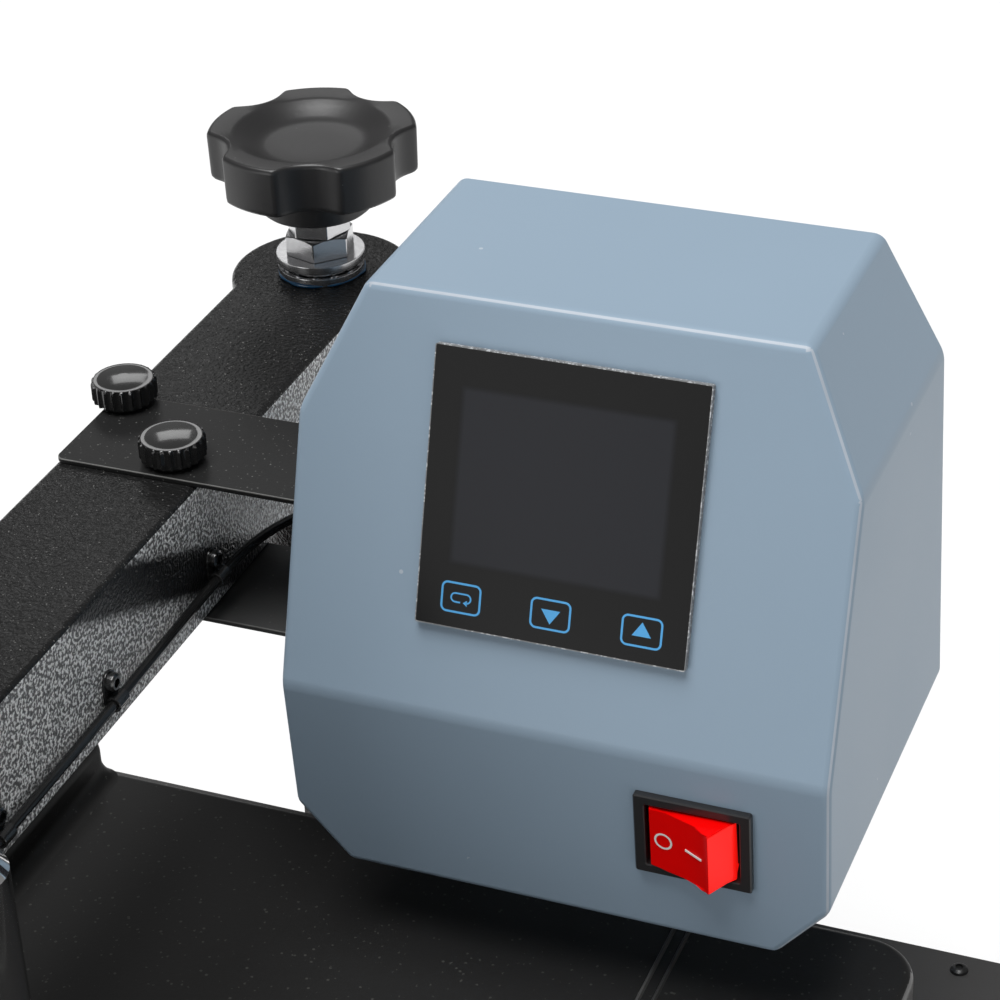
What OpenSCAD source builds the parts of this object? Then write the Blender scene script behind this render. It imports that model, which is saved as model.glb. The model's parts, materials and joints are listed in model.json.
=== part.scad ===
// Swing-away flat heat press with an adjustable pressure screw and a control box on its arm.
// +X is to the right, +Y to the back, +Z up. The origin is on the floor under the middle of the object.

/* [Heat platen] */
// Width of the heating plate
platen_w = 500; // [460:10:540]
// Depth of the heating plate
platen_d = 400; // [380:10:420]
// Thickness of the heating plate
plate_t = 18; // [14:1:20]
// How far the platen drops to close
travel = 35.5; // [30:0.5:36]

/* [Base] */
// Width of the crossbars
crossbar_w = 420; // [340:10:480]
// Height of the rubber feet
foot_h = 15; // [12:1:20]
// Diameter of the upright post
post_d = 40; // [36:1:40]

/* [Arm] */
// Width of the arm's square tube
arm_w = 42; // [40:1:44]
// Height of the arm's square tube
arm_h = 41.5; // [38:0.5:44]
// Height of the arm's top face above the floor
arm_top = 339.2; // [338:0.2:342]
// Radius of the round end around the post
lobe_r = 27.4; // [26:0.2:30]

/* [Control box] */
// Half of the box's width
box_hw = 74; // [70:1:80]
// Sheet thickness of the box
sheet = 1.5; // [1:0.1:2]
// Side of the square display
display_w = 72; // [68:1:76]

/* [Adjuster knob] */
// Radius over the knob's lobes
knob_r = 31; // [28:1:34]
// Number of lobes on the knob
knob_lobes = 5; // [5:1:7]

/* [Handle] */
// Length of the lever from its pivot
lever_len = 300; // [260:10:340]
// Angle that the lever turns through to close the press
lever_turn = 80; // [78:1:80]

/* [Hidden] */
$fn = 64;
eps = 0.01;
run = 0.05;          // radial clearance of a running fit

frame_z = foot_h;                  // underside of the base frame
tube_h = 40;
frame_top = frame_z + tube_h;
bed_z = 125;                       // underside of the lower plate
bed_t = 6;
pad_z = bed_z + bed_t;
pad_t = 9.5;
platen_y = -107;                   // middle of both plates
plate_z = pad_z + pad_t + 0.5 + travel;
plate_top = plate_z + plate_t;
cover_top = 222;
cover_w = 436;
cover_d = 341;
hanger_z = cover_top;
hanger_top = hanger_z + 8;
post_y = 173;                      // axis of the post, the swing and the knob
post_r = post_d / 2;
post_top = 300;
sleeve_z = 250;
arm_front = -152;
arm_mid = arm_top - arm_h / 2;
arm_bot = arm_top - arm_h;
arm_wall = 2;
crank_y = -82.6;                   // handle pivot
crank_z = 374;
half_turn = lever_turn / 2;
crank_r = travel / (2 * sin(half_turn));
pin_y = crank_y - crank_r * cos(half_turn);
pin_z = crank_z + travel / 2;
yoke_z = pin_z;
box_x = 130;                       // middle of the box
fold_y = 17.5;                     // fold line across the box's front
fold_z = 302;
upper_lean = atan(0.33);
lower_lean = atan(0.07);
back_lean = 0.1272;
back_y0 = fold_y + 110.35;         // back of the box at the height of the fold
bracket_y0 = 45.4;
bracket_y1 = 83;
bracket_t = 1.5;
nut_z = arm_top + 6.8;
rod_x = 39.5;                      // guide rods left and right of the arm
rod_r = 10;
spring_z = 252;                    // lower end of the return spring
hanger_holes = [for (x = [-50, 50]) for (y = [-46, 46]) [x, platen_y + y]];
clip_at = [[49.7, 309], [-9.4, 307.6], [-67.5, 307]];
lead_r = 2.4;
lead_x = arm_w / 2 + lead_r + 0.15;
thumbs = [[-17, 79], [10.5, 54.5]];

lead_route = [
    [23.7, -72, 307], [23.7, -67.5, 307], [23.7, -40, 307.2], [23.7, -9.4, 307.6], [23.7, 20, 308.4],
    [23.7, 49.7, 309], [24.3, 60, 309.6], [26.5, 70, 310.4], [30.5, 79, 311], [36, 87, 311.4],
    [42, 93, 311.8], [46, 95, 312], [49, 95, 312]
];
loop_route = [
    [23.7, -72, 307], [23.9, -75.2, 303.4], [24, -76.8, 298.6], [22.6, -77.4, 293], [18, -76, 288],
    [9, -70, 282], [0, -63, 276], [-10, -55, 270], [-20, -46, 266], [-30, -38, 264], [-40, -29, 263],
    [-47, -21, 261], [-50, -16.5, 256.5], [-50, -15, 251], [-50, -15, 246.3]
];

// ---------- shared shapes ----------

module rounded_slab(w, d, h, r) {
    cube_w = w - 2 * r;
    translate([-w / 2, -d / 2 + r, 0]) cube([w, d - 2 * r, h]);
    translate([-cube_w / 2, -d / 2, 0]) cube([cube_w, d, h]);
    for (x = [-1, 1], y = [-1, 1]) {
        translate([x * cube_w / 2, y * (d / 2 - r), 0]) cylinder(r = r, h = h);
    }
}

module box_tube(w, d, h, wall) {
    difference() {
        cube([w, d, h]);
        if (w > d) {
            translate([-1, wall, wall]) cube([w + 2, d - 2 * wall, h - 2 * wall]);
        } else {
            translate([wall, -1, wall]) cube([w - 2 * wall, d + 2, h - 2 * wall]);
        }
    }
}

module hex(across, h) {
    cylinder(d = across / cos(30), h = h, $fn = 6);
}

module hex_bolt(d, shank, head_h) {
    translate([0, 0, -shank]) cylinder(d = d, h = shank + eps);
    hex(d * 1.625, head_h);
}

module pan_screw(d, shank) {
    translate([0, 0, -shank]) cylinder(d = d, h = shank + eps);
    cylinder(d1 = d * 2, d2 = d * 1.5, h = d * 0.6);
}

module ring(r_out, r_in, h) {
    difference() {
        cylinder(r = r_out, h = h);
        translate([0, 0, -1]) cylinder(r = r_in, h = h + 2);
    }
}

function unit(v) = v / norm(v);

// Inward copy of a convex outline whose points run anticlockwise
function inset(p, t) = [
    for (i = [0:len(p) - 1])
        let (
            a = unit(p[i] - p[(i + len(p) - 1) % len(p)]),
            b = unit(p[(i + 1) % len(p)] - p[i]),
            na = [-a[1], a[0]],
            nb = [-b[1], b[0]]
        )
        p[i] + t * (na + nb) / (1 + na * nb)
];

// Round tube of radius r swept along a list of points
module swept_tube(pts, r, sides) {
    n = len(pts);
    dirs = [for (i = [0:n - 1]) unit(pts[min(i + 1, n - 1)] - pts[max(i - 1, 0)])];
    up = [0.31, 0.17, 0.93];
    rings = [
        for (i = [0:n - 1])
            let (u = unit(cross(dirs[i], up)), v = cross(dirs[i], u))
            for (k = [0:sides - 1]) pts[i] + r * (cos(360 * k / sides) * u + sin(360 * k / sides) * v)
    ];
    walls = [
        for (i = [0:n - 2], k = [0:sides - 1])
            let (j = (k + 1) % sides, p = i * sides, q = p + sides)
            for (tri = [[p + k, q + k, q + j], [p + k, q + j, p + j]]) tri
    ];
    start = [for (k = [0:sides - 1]) k];
    end = [for (k = [0:sides - 1]) (n - 1) * sides + sides - 1 - k];
    polyhedron(rings, concat(walls, [start], [end]), convexity = 6);
}

module coil_spring(r, wire, h, turns) {
    steps = 14;
    rise = h - wire;
    pts = [
        for (i = [0:turns * steps])
            [r * cos(360 * i / steps), r * sin(360 * i / steps), wire / 2 + rise * i / (turns * steps)]
    ];
    swept_tube(pts, wire / 2, 6);
}

module at_post(z) {
    translate([0, post_y, z]) children();
}

module on_upper_front() {
    translate([box_x, fold_y, fold_z]) rotate([-upper_lean, 0, 0]) children();
}

module on_lower_front() {
    translate([box_x + 38.8, fold_y, fold_z]) rotate([lower_lean, 0, 0])
        translate([0, 0, -24]) children();
}

// ---------- base ----------

module base_spine() {
    color("#2b2b2c")
    difference() {
        translate([-30, -240, frame_z]) box_tube(60, 544.5, tube_h, 3);
        for (x = [-20, 20]) translate([x, 133, frame_top - 5]) cylinder(d = 10.5, h = 10);
        for (y = [-52, 52]) translate([0, platen_y + y, frame_top - 5]) cylinder(d = 8.5, h = 10);
    }
}

module front_crossbar() {
    color("#2b2b2c")
    difference() {
        translate([-crossbar_w / 2, -290, frame_z]) box_tube(crossbar_w, 50, tube_h, 3);
        for (x = [-1, 1]) translate([x * (crossbar_w / 2 - 35), -265, 0]) cylinder(d = 8.4, h = 20);
    }
}

module rear_crossbar() {
    bar = crossbar_w / 2 - 30;
    color("#2b2b2c")
    difference() {
        for (x = [-crossbar_w / 2, 30]) translate([x, 200, frame_z]) box_tube(bar, 50, tube_h, 3);
        for (x = [-1, 1]) translate([x * (crossbar_w / 2 - 35), 225, 0]) cylinder(d = 8.4, h = 20);
        for (x = [-50, 50]) translate([x, 213, frame_top - 5]) cylinder(d = 10.5, h = 10);
    }
}

module end_plug() {
    translate([0, -25, -20]) cube([2.5, 50, 40]);
    translate([-9, -21.9, -16.9]) cube([9 + eps, 43.8, 33.8]);
}

module tube_end_caps() {
    mid = frame_z + tube_h / 2;
    color("#1c1c1d") {
        for (y = [-265, 225]) {
            translate([crossbar_w / 2, y, mid]) end_plug();
            translate([-crossbar_w / 2, y, mid]) rotate([0, 0, 180]) end_plug();
        }
        translate([-30, 304.5, frame_z]) cube([60, 2.5, tube_h]);
        translate([-26.9, 295.5, frame_z + 3.1]) cube([53.8, 9 + eps, 33.8]);
    }
}

module rubber_feet() {
    color("#202021")
    for (x = [-1, 1], y = [-265, 225]) {
        translate([x * (crossbar_w / 2 - 35), y, 0])
        difference() {
            cylinder(r1 = 17, r2 = 20, h = foot_h);
            translate([0, 0, -1]) cylinder(d = 18, h = 8);
            translate([0, 0, -1]) cylinder(d = 8.4, h = foot_h + 2);
        }
    }
}

module foot_screws() {
    color("#b9bbbd")
    for (x = [-1, 1], y = [-265, 225]) {
        translate([x * (crossbar_w / 2 - 35), y, 0]) {
            translate([0, 0, 2]) cylinder(d = 15, h = 5);
            translate([0, 0, 6.9]) cylinder(d = 8, h = 19);
            translate([0, 0, frame_z + 3]) difference() {
                hex(13, 6.5);
                translate([0, 0, -1]) cylinder(d = 7.9, h = 9);
            }
        }
    }
}

module pedestal() {
    color("#2b2b2c")
    translate([0, platen_y, 0])
    difference() {
        union() {
            translate([-60, -65, frame_top]) cube([120, 130, 6]);
            translate([-32, -32, frame_top]) cube([64, 64, 45]);
            translate([-90, -90, 99]) cube([180, 180, 6]);
        }
        translate([-28, -28, frame_top - 1]) cube([56, 56, 60]);
        for (y = [-52, 52]) translate([0, y, frame_top - 1]) cylinder(d = 8.5, h = 9);
        for (x = [-75, 75], y = [-62, 62]) translate([x, y, 98]) cylinder(d = 8.5, h = 9);
    }
}

module bed_rails() {
    color("#2b2b2c")
    translate([0, platen_y, 105])
    for (y = [-62, 62]) {
        difference() {
            translate([-200, y - 15, 0]) box_tube(400, 30, 20, 2);
            for (x = [-75, 75]) translate([x, y, -1]) cylinder(d = 8.5, h = 22);
        }
    }
}

module base_bolts() {
    color("#8f9193") {
        for (x = [-75, 75], y = [-62, 62]) {
            translate([x, platen_y + y, 99]) rotate([180, 0, 0]) hex_bolt(8, 24, 5.3);
        }
        for (y = [-52, 52]) translate([0, platen_y + y, frame_top + 6]) hex_bolt(8, 12, 5.3);
        for (x = [-20, 20]) translate([x, 133, frame_top + 10]) hex_bolt(10, 18, 6.4);
        for (x = [-50, 50]) translate([x, 213, frame_top + 10]) hex_bolt(10, 18, 6.4);
    }
}

module lower_plate() {
    color("#303031")
    translate([0, platen_y, bed_z])
    difference() {
        rounded_slab(platen_w, platen_d, bed_t, 8);
        for (x = [-75, 75], y = [-62, 62]) translate([x, y, -1]) cylinder(d = 8.5, h = 3);
    }
}

module silicone_pad() {
    color("#b4532f")
    translate([0, platen_y, pad_z]) rounded_slab(platen_w, platen_d, pad_t, 8);
}

module post() {
    color("#2b2b2c")
    difference() {
        union() {
            at_post(frame_top + 10) cylinder(r = post_r, h = post_top - frame_top - 10);
            at_post(frame_top + 10) cylinder(r1 = post_r + 7, r2 = post_r, h = 7);
            translate([-65, 118, frame_top]) cube([130, 110, 10]);
        }
        at_post(post_top - 60) cylinder(d = 12.1, h = 70);
        for (x = [-20, 20]) translate([x, 133, frame_top - 1]) cylinder(d = 10.5, h = 12);
        for (x = [-50, 50]) translate([x, 213, frame_top - 1]) cylinder(d = 10.5, h = 12);
    }
}

module lift_spring() {
    color("#a8aaac")
    at_post(post_top) coil_spring(12, 3, arm_top - 8 - post_top, 4);
}

// ---------- swing bearing and adjusting screw ----------

module bearing_balls() {
    color("#d9dadb")
    at_post(arm_top + 3.45) {
        for (a = [0:30:330]) rotate([0, 0, a + 15]) translate([10.3, 0, 0]) sphere(r = 1.4, $fn = 24);
        translate([0, 0, -0.4]) ring(11.2, 9.4, 0.8);
    }
}

module lower_race() {
    color("#c9cacc")
    at_post(arm_top)
    difference() {
        cylinder(r = 13, h = 2.6);
        translate([0, 0, -1]) cylinder(r = 6.6, h = 5);
        translate([0, 0, 3.45]) rotate_extrude() translate([10.3, 0]) circle(r = 1.5);
    }
}

module upper_race() {
    color("#c9cacc")
    at_post(arm_top + 4.3)
    difference() {
        cylinder(r = 13.4, h = 2.5);
        translate([0, 0, -1]) cylinder(r = 6, h = 5);
        translate([0, 0, -0.85]) rotate_extrude() translate([10.3, 0]) circle(r = 1.5);
    }
}

module adjusting_screw() {
    color("#c4c6c8")
    at_post(post_top - 45) cylinder(d = 12, h = arm_top + 34 - post_top + 45);
}

module screw_nuts() {
    color("#d0d2d4")
    at_post(nut_z)
    difference() {
        union() {
            intersection() {
                rotate([0, 0, 14]) hex(18.6, 6.5);
                cylinder(r1 = 12.2, r2 = 9.9, h = 9.2);
            }
            translate([0, 0, 7.1]) rotate([0, 0, 40]) hex(17, 7);
        }
        translate([0, 0, -1]) cylinder(d = 12, h = 20);
    }
}

module star_knob() {
    floor_z = arm_top + 21.2;
    scallop = 13;
    color("#2a2a2b")
    at_post(floor_z)
    difference() {
        union() {
            cylinder(r = 14.5, h = 8);
            translate([0, 0, 7]) linear_extrude(18) difference() {
                circle(r = knob_r);
                for (i = [0:knob_lobes - 1]) {
                    rotate(3.7 + i * 360 / knob_lobes) translate([knob_r - 5 + scallop, 0]) circle(r = scallop);
                }
            }
        }
        translate([0, 0, -1]) cylinder(d = 12, h = 13.8);
        translate([0, 0, 20.8]) cylinder(r1 = 14, r2 = 24, h = 5.2);
    }
}

// ---------- arm ----------

module arm_beam() {
    color("#343435")
    difference() {
        translate([-arm_w / 2, arm_front, arm_bot]) box_tube(arm_w, post_y - arm_front, arm_h, arm_wall);
        at_post(arm_bot - 1) cylinder(r = lobe_r + 0.05, h = arm_h + 2);
        translate([0, platen_y, arm_bot - 1]) cylinder(r = 19, h = arm_h + 2);
        for (p = thumbs) translate([p[0], p[1], arm_top - 14]) cylinder(r = 2.6, h = 16);
        for (p = clip_at) {
            translate([arm_w / 2 - 4, p[0], p[1] + 5.4]) rotate([0, 90, 0]) cylinder(d = 3.1, h = 6);
        }
    }
}

module post_sleeve() {
    color("#343435")
    difference() {
        at_post(sleeve_z) cylinder(r = lobe_r, h = arm_top - sleeve_z);
        at_post(sleeve_z - 1) cylinder(r = post_r + 1.5, h = arm_top - 8 - sleeve_z + 1);
        at_post(arm_top - 9) cylinder(r = 6.6, h = 12);
    }
}

module sleeve_bushes() {
    color("#b08d57")
    for (z = [sleeve_z, post_top - 26]) at_post(z) ring(post_r + 1.5, post_r + run, 16);
}

module arm_end_cap() {
    color("#1c1c1d") {
        translate([-arm_w / 2, arm_front - 2.5, arm_bot]) cube([arm_w, 2.5, arm_h]);
        translate([-18.9, arm_front - eps, arm_bot + 2.1]) cube([37.8, 9, arm_h - 4.2]);
    }
}

module ram_housing() {
    color("#343435")
    translate([0, platen_y, 0])
    difference() {
        union() {
            translate([0, 0, 240]) rounded_slab(2 * rod_x + 36, 56, 8, 10);
            translate([0, 0, 240]) cylinder(r = 25, h = arm_bot - 240);
            translate([0, 0, 240]) cylinder(r = 18.95, h = arm_top + 2 - 240);
            for (x = [-rod_x, rod_x]) translate([x, 0, 240]) cylinder(r = 15, h = 40);
        }
        translate([0, 0, 230]) cylinder(r = 12 + run, h = 120);
        translate([0, 0, spring_z]) cylinder(r = 17, h = 100);
        for (x = [-rod_x, rod_x]) translate([x, 0, 230]) cylinder(r = rod_r + run, h = 60);
    }
}

module handle_ears() {
    color("#343435")
    difference() {
        for (x = [-21, 15.5]) translate([x, crank_y, 0]) {
            translate([0, -16, arm_top]) cube([5.5, 32, crank_z - arm_top]);
            translate([0, 0, crank_z]) rotate([0, 90, 0]) cylinder(r = 16, h = 5.5);
        }
        translate([-30, crank_y, crank_z]) rotate([0, 90, 0]) cylinder(r = 7 + run, h = 60);
    }
}

module pivot_shaft() {
    color("#c4c6c8")
    translate([0, crank_y, crank_z]) rotate([0, 90, 0]) {
        translate([0, 0, -26]) cylinder(r = 7, h = 52);
        for (z = [-24.5, 21.5]) translate([0, 0, z]) ring(10, 7, 3);
    }
}

// ---------- bracket and control box ----------

module bracket_plate(z, tab_z) {
    wall_x = box_x - box_hw;
    difference() {
        union() {
            translate([-arm_w / 2 + 9, bracket_y0, z]) cube([wall_x + 12, bracket_y1 - bracket_y0, bracket_t]);
            translate([-arm_w / 2, bracket_y0 + 9, z]) cube([20, bracket_y1 - bracket_y0 - 9, bracket_t]);
            translate([-arm_w / 2 + 9, bracket_y0 + 9, z]) cylinder(r = 9, h = bracket_t);
            translate([wall_x - bracket_t, bracket_y0, tab_z])
                cube([bracket_t, bracket_y1 - bracket_y0, 18]);
        }
        for (y = [bracket_y0 + 9, bracket_y1 - 9]) {
            translate([wall_x - 5, y, tab_z + 9]) rotate([0, 90, 0]) cylinder(d = 4.2, h = 10);
        }
        for (p = thumbs) translate([p[0], p[1], z - 1]) cylinder(r = 2.7, h = 4);
    }
}

module bracket_top() {
    color("#383838") bracket_plate(arm_top, arm_top + bracket_t - 18);
}

module bracket_bottom() {
    color("#383838") bracket_plate(arm_bot - bracket_t, arm_bot - bracket_t);
}

module thumb_screw() {
    color("#161617") {
        translate([0, 0, -10]) cylinder(r = 2.5, h = 10.5);
        translate([0, 0, 0.3]) cylinder(r = 7, h = 1.2);
        translate([0, 0, 1.4]) cylinder(r = 9.1, h = 5);
        translate([0, 0, 6.4 - eps]) intersection() {
            cylinder(r = 9.1, h = 3);
            translate([0, 0, -13.5]) sphere(r = 16.2);
        }
    }
}

module thumb_screw_a() {
    translate([thumbs[0][0], thumbs[0][1], arm_top + bracket_t]) thumb_screw();
}

module thumb_screw_b() {
    translate([thumbs[1][0], thumbs[1][1], arm_top + bracket_t]) thumb_screw();
}

// The box's outline seen from the front, x and height from the fold line
box_outline = [
    [-59.8, -57.6], [59.8, -57.6], [box_hw, -40.4], [box_hw, 69.6],
    [57.7, 103.35], [-57.7, 103.35], [-box_hw, 69.6], [-box_hw, -40.4]
];

// Everything between the front planes and a back plane, both moved inward by t
module box_depth(t, back_t) {
    f = t / cos(upper_lean);
    g = t / cos(lower_lean);
    side = [
        [0.33 * 110 + f, 110], [f, 0], [0.07 * 70 + g, -70],
        [110.35 + back_lean * 70 - back_t, -70], [110.35 - back_lean * 110 - back_t, 110]
    ];
    translate([-100, 0, 0]) rotate([90, 0, 90]) linear_extrude(200) polygon(side);
}

module box_solid(t, back_t) {
    intersection() {
        translate([0, 160, 0]) rotate([90, 0, 0]) linear_extrude(200) polygon(inset(box_outline, t + eps));
        box_depth(t, back_t);
    }
}

module control_box_shell() {
    wall_x = box_x - box_hw;
    color("#8d9dab")
    difference() {
        translate([box_x, fold_y, fold_z]) difference() {
            box_solid(0, 0);
            box_solid(sheet, -10);
        }
        on_upper_front() translate([-0.85 - 34, -5, 60.45 - 34]) cube([68, 20, 68]);
        on_lower_front() translate([-13.6, -5, -11.1]) cube([27.2, 20, 22.2]);
        for (z = [arm_top + bracket_t - 9, arm_bot - bracket_t + 9]) {
            for (y = [bracket_y0 + 9, bracket_y1 - 9]) {
                translate([wall_x - 3, y, z]) rotate([0, 90, 0]) cylinder(d = 4.2, h = 8);
            }
        }
        translate([wall_x - 3, 95, 312]) rotate([0, 90, 0]) cylinder(d = 10.2, h = 8);
    }
}

module back_frame() {
    translate([box_x, fold_y + 110.35, fold_z]) rotate([atan(back_lean), 0, 0]) children();
}

back_holes = [for (x = [-64, 64]) for (z = [-28, 58]) [x, z]];

module control_box_back() {
    color("#8d9dab")
    difference() {
        translate([box_x, fold_y, fold_z]) intersection() {
            box_solid(sheet + 0.1, 0.3);
            translate([0, -1.8, 0]) difference() {
                box_depth(0, -1.5);
                box_depth(-1, 0);
            }
        }
        back_frame() {
            translate([26, -8, -31]) cube([27.6, 20, 20.6]);
            for (x = [19.8, 59.8]) translate([x, -8, -20.7]) rotate([-90, 0, 0]) cylinder(d = 3.4, h = 20);
            for (p = back_holes) translate([p[0], -8, p[1]]) rotate([-90, 0, 0]) cylinder(d = 3.4, h = 20);
            for (i = [0:6]) translate([-46 + i * 9, -8, 30]) cube([4, 20, 34]);
        }
    }
}

module box_screws() {
    wall_x = box_x - box_hw;
    color("#b9bbbd")
    for (z = [arm_top + bracket_t - 9, arm_bot - bracket_t + 9], y = [bracket_y0 + 9, bracket_y1 - 9]) {
        translate([wall_x - bracket_t, y, z]) rotate([0, -90, 0]) {
            pan_screw(4, 10);
            translate([0, 0, -bracket_t - sheet - 3.2]) difference() {
                hex(7, 3.2);
                translate([0, 0, -1]) cylinder(d = 3.9, h = 6);
            }
        }
    }
    color("#b9bbbd")
    back_frame() {
        for (p = back_holes) translate([p[0], -0.2, p[1]]) rotate([-90, 0, 0]) pan_screw(3, 8);
        for (x = [19.8, 59.8]) translate([x, 3.1, -20.7]) rotate([-90, 0, 0]) pan_screw(3, 9);
    }
}

module display_glass() {
    color("#1f1f1f")
    on_upper_front() translate([-0.85, 0, 60.45])
        translate([-display_w / 2, -2, -display_w / 2]) cube([display_w, 1.95, display_w]);
}

module display_module() {
    color("#232324")
    on_upper_front() translate([-0.85, 0, 60.45]) {
        translate([-33.7, 0, -33.7]) cube([67.4, 40, 67.4]);
        translate([-26, 40 - eps, -20]) cube([52, 8, 12]);
    }
}

module switch_bezel() {
    color("#1b1b1c")
    on_lower_front()
    difference() {
        union() {
            translate([-15.5, -2, -12.75]) cube([31, 1.95, 25.5]);
            translate([-13.4, -0.1, -10.9]) cube([26.8, 20, 21.8]);
            for (x = [-8, 0, 8]) translate([x - 2.4, 19.8, -0.4]) cube([4.8, 9, 0.8]);
        }
        translate([-12.5, -3, -10]) cube([25, 20, 20]);
    }
}

module rocker() {
    color("#c81414")
    on_lower_front() translate([0, 3, 0]) rotate([0, 0, -14]) {
        translate([0, 0, -9.6]) linear_extrude(19.2) polygon([
            [-9.6, -7.8], [0, -5.9], [9.6, -7.8], [12.1, -2], [9, 4], [3, 8], [-3, 8], [-9, 4], [-12.1, -2]
        ]);
        translate([0, 0, -9.9]) cylinder(r = 1.5, h = 19.8);
    }
}

module relay() {
    color("#3a3b3d")
    translate([box_x - 45, fold_y + 62, fold_z - 54]) {
        cube([45, 30, 4]);
        translate([2, 2, 4 - eps]) cube([41, 26, 22]);
    }
}

module terminal_block() {
    color("#d8d4c6")
    translate([box_x + 10, fold_y + 42, fold_z - 55])
    difference() {
        cube([48, 20, 16]);
        for (i = [0:3]) translate([7 + i * 11.3, 10, 6]) cylinder(d = 6, h = 12);
    }
}

module mains_inlet() {
    color("#1b1b1c")
    back_frame()
    difference() {
        union() {
            translate([14.8, 0.1, -32.7]) cube([50, 3, 24]);
            translate([26.2, -18, -30.8]) cube([27.2, 18.2, 20.2]);
        }
        translate([28, -14, -29]) cube([23.6, 20, 16.6]);
        for (x = [19.8, 59.8]) translate([x, -8, -20.7]) rotate([-90, 0, 0]) cylinder(d = 3.2, h = 20);
    }
}

module cable_gland() {
    wall_x = box_x - box_hw;
    color("#1b1b1c")
    translate([wall_x, 95, 312]) rotate([0, 90, 0])
    difference() {
        union() {
            translate([0, 0, -5]) hex(13, 4.95);
            translate([0, 0, -7.5]) cylinder(r = 5.2, h = 3);
            translate([0, 0, -1]) cylinder(r = 5, h = 9);
            translate([0, 0, sheet + 0.05]) hex(13, 3.5);
        }
        translate([0, 0, -10]) cylinder(r = lead_r + 0.1, h = 20);
    }
}

module cable_clips() {
    color("#1b1b1c")
    for (p = clip_at) {
        translate([lead_x, p[0], p[1]]) {
            rotate([90, 0, 0]) translate([0, 0, -4.5]) difference() {
                union() {
                    cylinder(r = lead_r + 0.9, h = 9);
                    translate([-lead_r - 0.1, 0, 0]) cube([1.6, 9.4, 9]);
                }
                translate([0, 0, -1]) cylinder(r = lead_r + 0.08, h = 11);
                translate([-10, -5, -1]) cube([10 - lead_r - 0.13, 20, 11]);
                translate([-8, 5.4, 4.5]) rotate([0, 90, 0]) cylinder(d = 3.3, h = 16);
            }
        }
    }
}

module clip_screws() {
    color("#9a9c9e")
    for (p = clip_at) {
        translate([arm_w / 2 + 1.7, p[0], p[1] + 5.4]) rotate([0, 90, 0]) pan_screw(3, 5);
    }
}

module heater_lead() {
    color("#151516") swept_tube(lead_route, lead_r, 8);
}

module heater_lead_loop() {
    color("#151516") swept_tube(loop_route, lead_r, 8);
}

// ---------- heat platen ----------

module heating_plate() {
    color("#a5a7a9")
    translate([0, platen_y, plate_z])
    difference() {
        rounded_slab(platen_w, platen_d, plate_t, 8);
        for (p = hanger_holes) translate([p[0], p[1] - platen_y, plate_t - 12]) cylinder(d = 8.2, h = 14);
        for (x = [-160:80:160]) translate([x - 4.2, -140, plate_t - 9]) cube([8.4, 280, 10]);
        translate([-150, 60, plate_t - 8]) cylinder(d = 5.2, h = 10);
    }
}

module heating_element() {
    color("#6f7072")
    translate([0, platen_y, plate_top - 4.6])
    for (x = [-160:80:160]) {
        translate([x, -138, 0]) rotate([-90, 0, 0]) cylinder(d = 8.2, h = 276);
    }
}

module insulation_board() {
    color("#cfc9b8")
    translate([0, platen_y, plate_top + 2.5])
    difference() {
        rounded_slab(cover_w - 12, cover_d - 12, 15, 16);
        for (p = hanger_holes) translate([p[0], p[1] - platen_y, -1]) cylinder(r = 10.6, h = 20);
        translate([-150, 60, -1]) cylinder(d = 8, h = 20);
    }
}

flange_screws = [for (x = [-224, 0, 224]) for (y = [-193.5, 193.5]) [x, y]];

module platen_cover() {
    color("#1e1e1f")
    translate([0, platen_y, plate_top + 0.1])
    difference() {
        union() {
            rounded_slab(platen_w, platen_d, sheet, 8);
            rounded_slab(cover_w, cover_d, cover_top - plate_top - 0.1, 22);
        }
        translate([0, 0, -1])
            rounded_slab(cover_w - 2 * sheet, cover_d - 2 * sheet, cover_top - plate_top + 0.9 - sheet, 20.5);
        for (p = hanger_holes) translate([p[0], p[1] - platen_y, 0]) cylinder(d = 8.6, h = 40);
        for (p = flange_screws) translate([p[0], p[1], -1]) cylinder(d = 4.2, h = 4);
        translate([-50, -15 - platen_y, 0]) cylinder(d = 7, h = 40);
    }
}

module cover_screws() {
    color("#2a2a2b")
    translate([0, platen_y, plate_top + 0.1 + sheet])
    for (p = flange_screws) translate([p[0], p[1], 0]) pan_screw(4, 1.5);
}

module terminal_box() {
    box_d = 63.5 + 40;
    color("#1e1e1f")
    translate([-66, 63.5 - box_d / 2, cover_top])
    difference() {
        rounded_slab(76, box_d, 13, 6);
        translate([0, 0, -1]) rounded_slab(73, box_d - 3, 12.5, 4.5);
        translate([16, -15 - 63.5 + box_d / 2, 0]) cylinder(d = 9, h = 30);
    }
    color("#1b1b1c")
    translate([-50, -15, cover_top + 13])
    difference() {
        union() {
            translate([0, 0, -3]) cylinder(r = 4.4, h = 4);
            hex(12, 6);
            translate([0, 0, 5.9]) cylinder(r1 = 5, r2 = 3.6, h = 5);
        }
        translate([0, 0, -5]) cylinder(r = lead_r + 0.1, h = 20);
    }
}

module hanger_plate() {
    color("#343435")
    translate([0, platen_y, hanger_z])
    difference() {
        rounded_slab(124, 116, 8, 10);
        for (p = hanger_holes) translate([p[0], p[1] - platen_y, -1]) cylinder(d = 8.4, h = 12);
        for (x = [-rod_x, rod_x]) translate([x, 0, 2]) cylinder(r = rod_r, h = 12);
        translate([0, 0, 2]) cylinder(r = 12, h = 12);
    }
}

module hanger_bolts() {
    color("#8f9193")
    for (p = hanger_holes) translate([p[0], p[1], 0]) {
        translate([0, 0, hanger_top]) hex_bolt(8, hanger_top - plate_top + 11, 5.3);
        translate([0, 0, plate_top]) ring(10, 4.1, cover_top - sheet - plate_top);
    }
}

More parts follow.
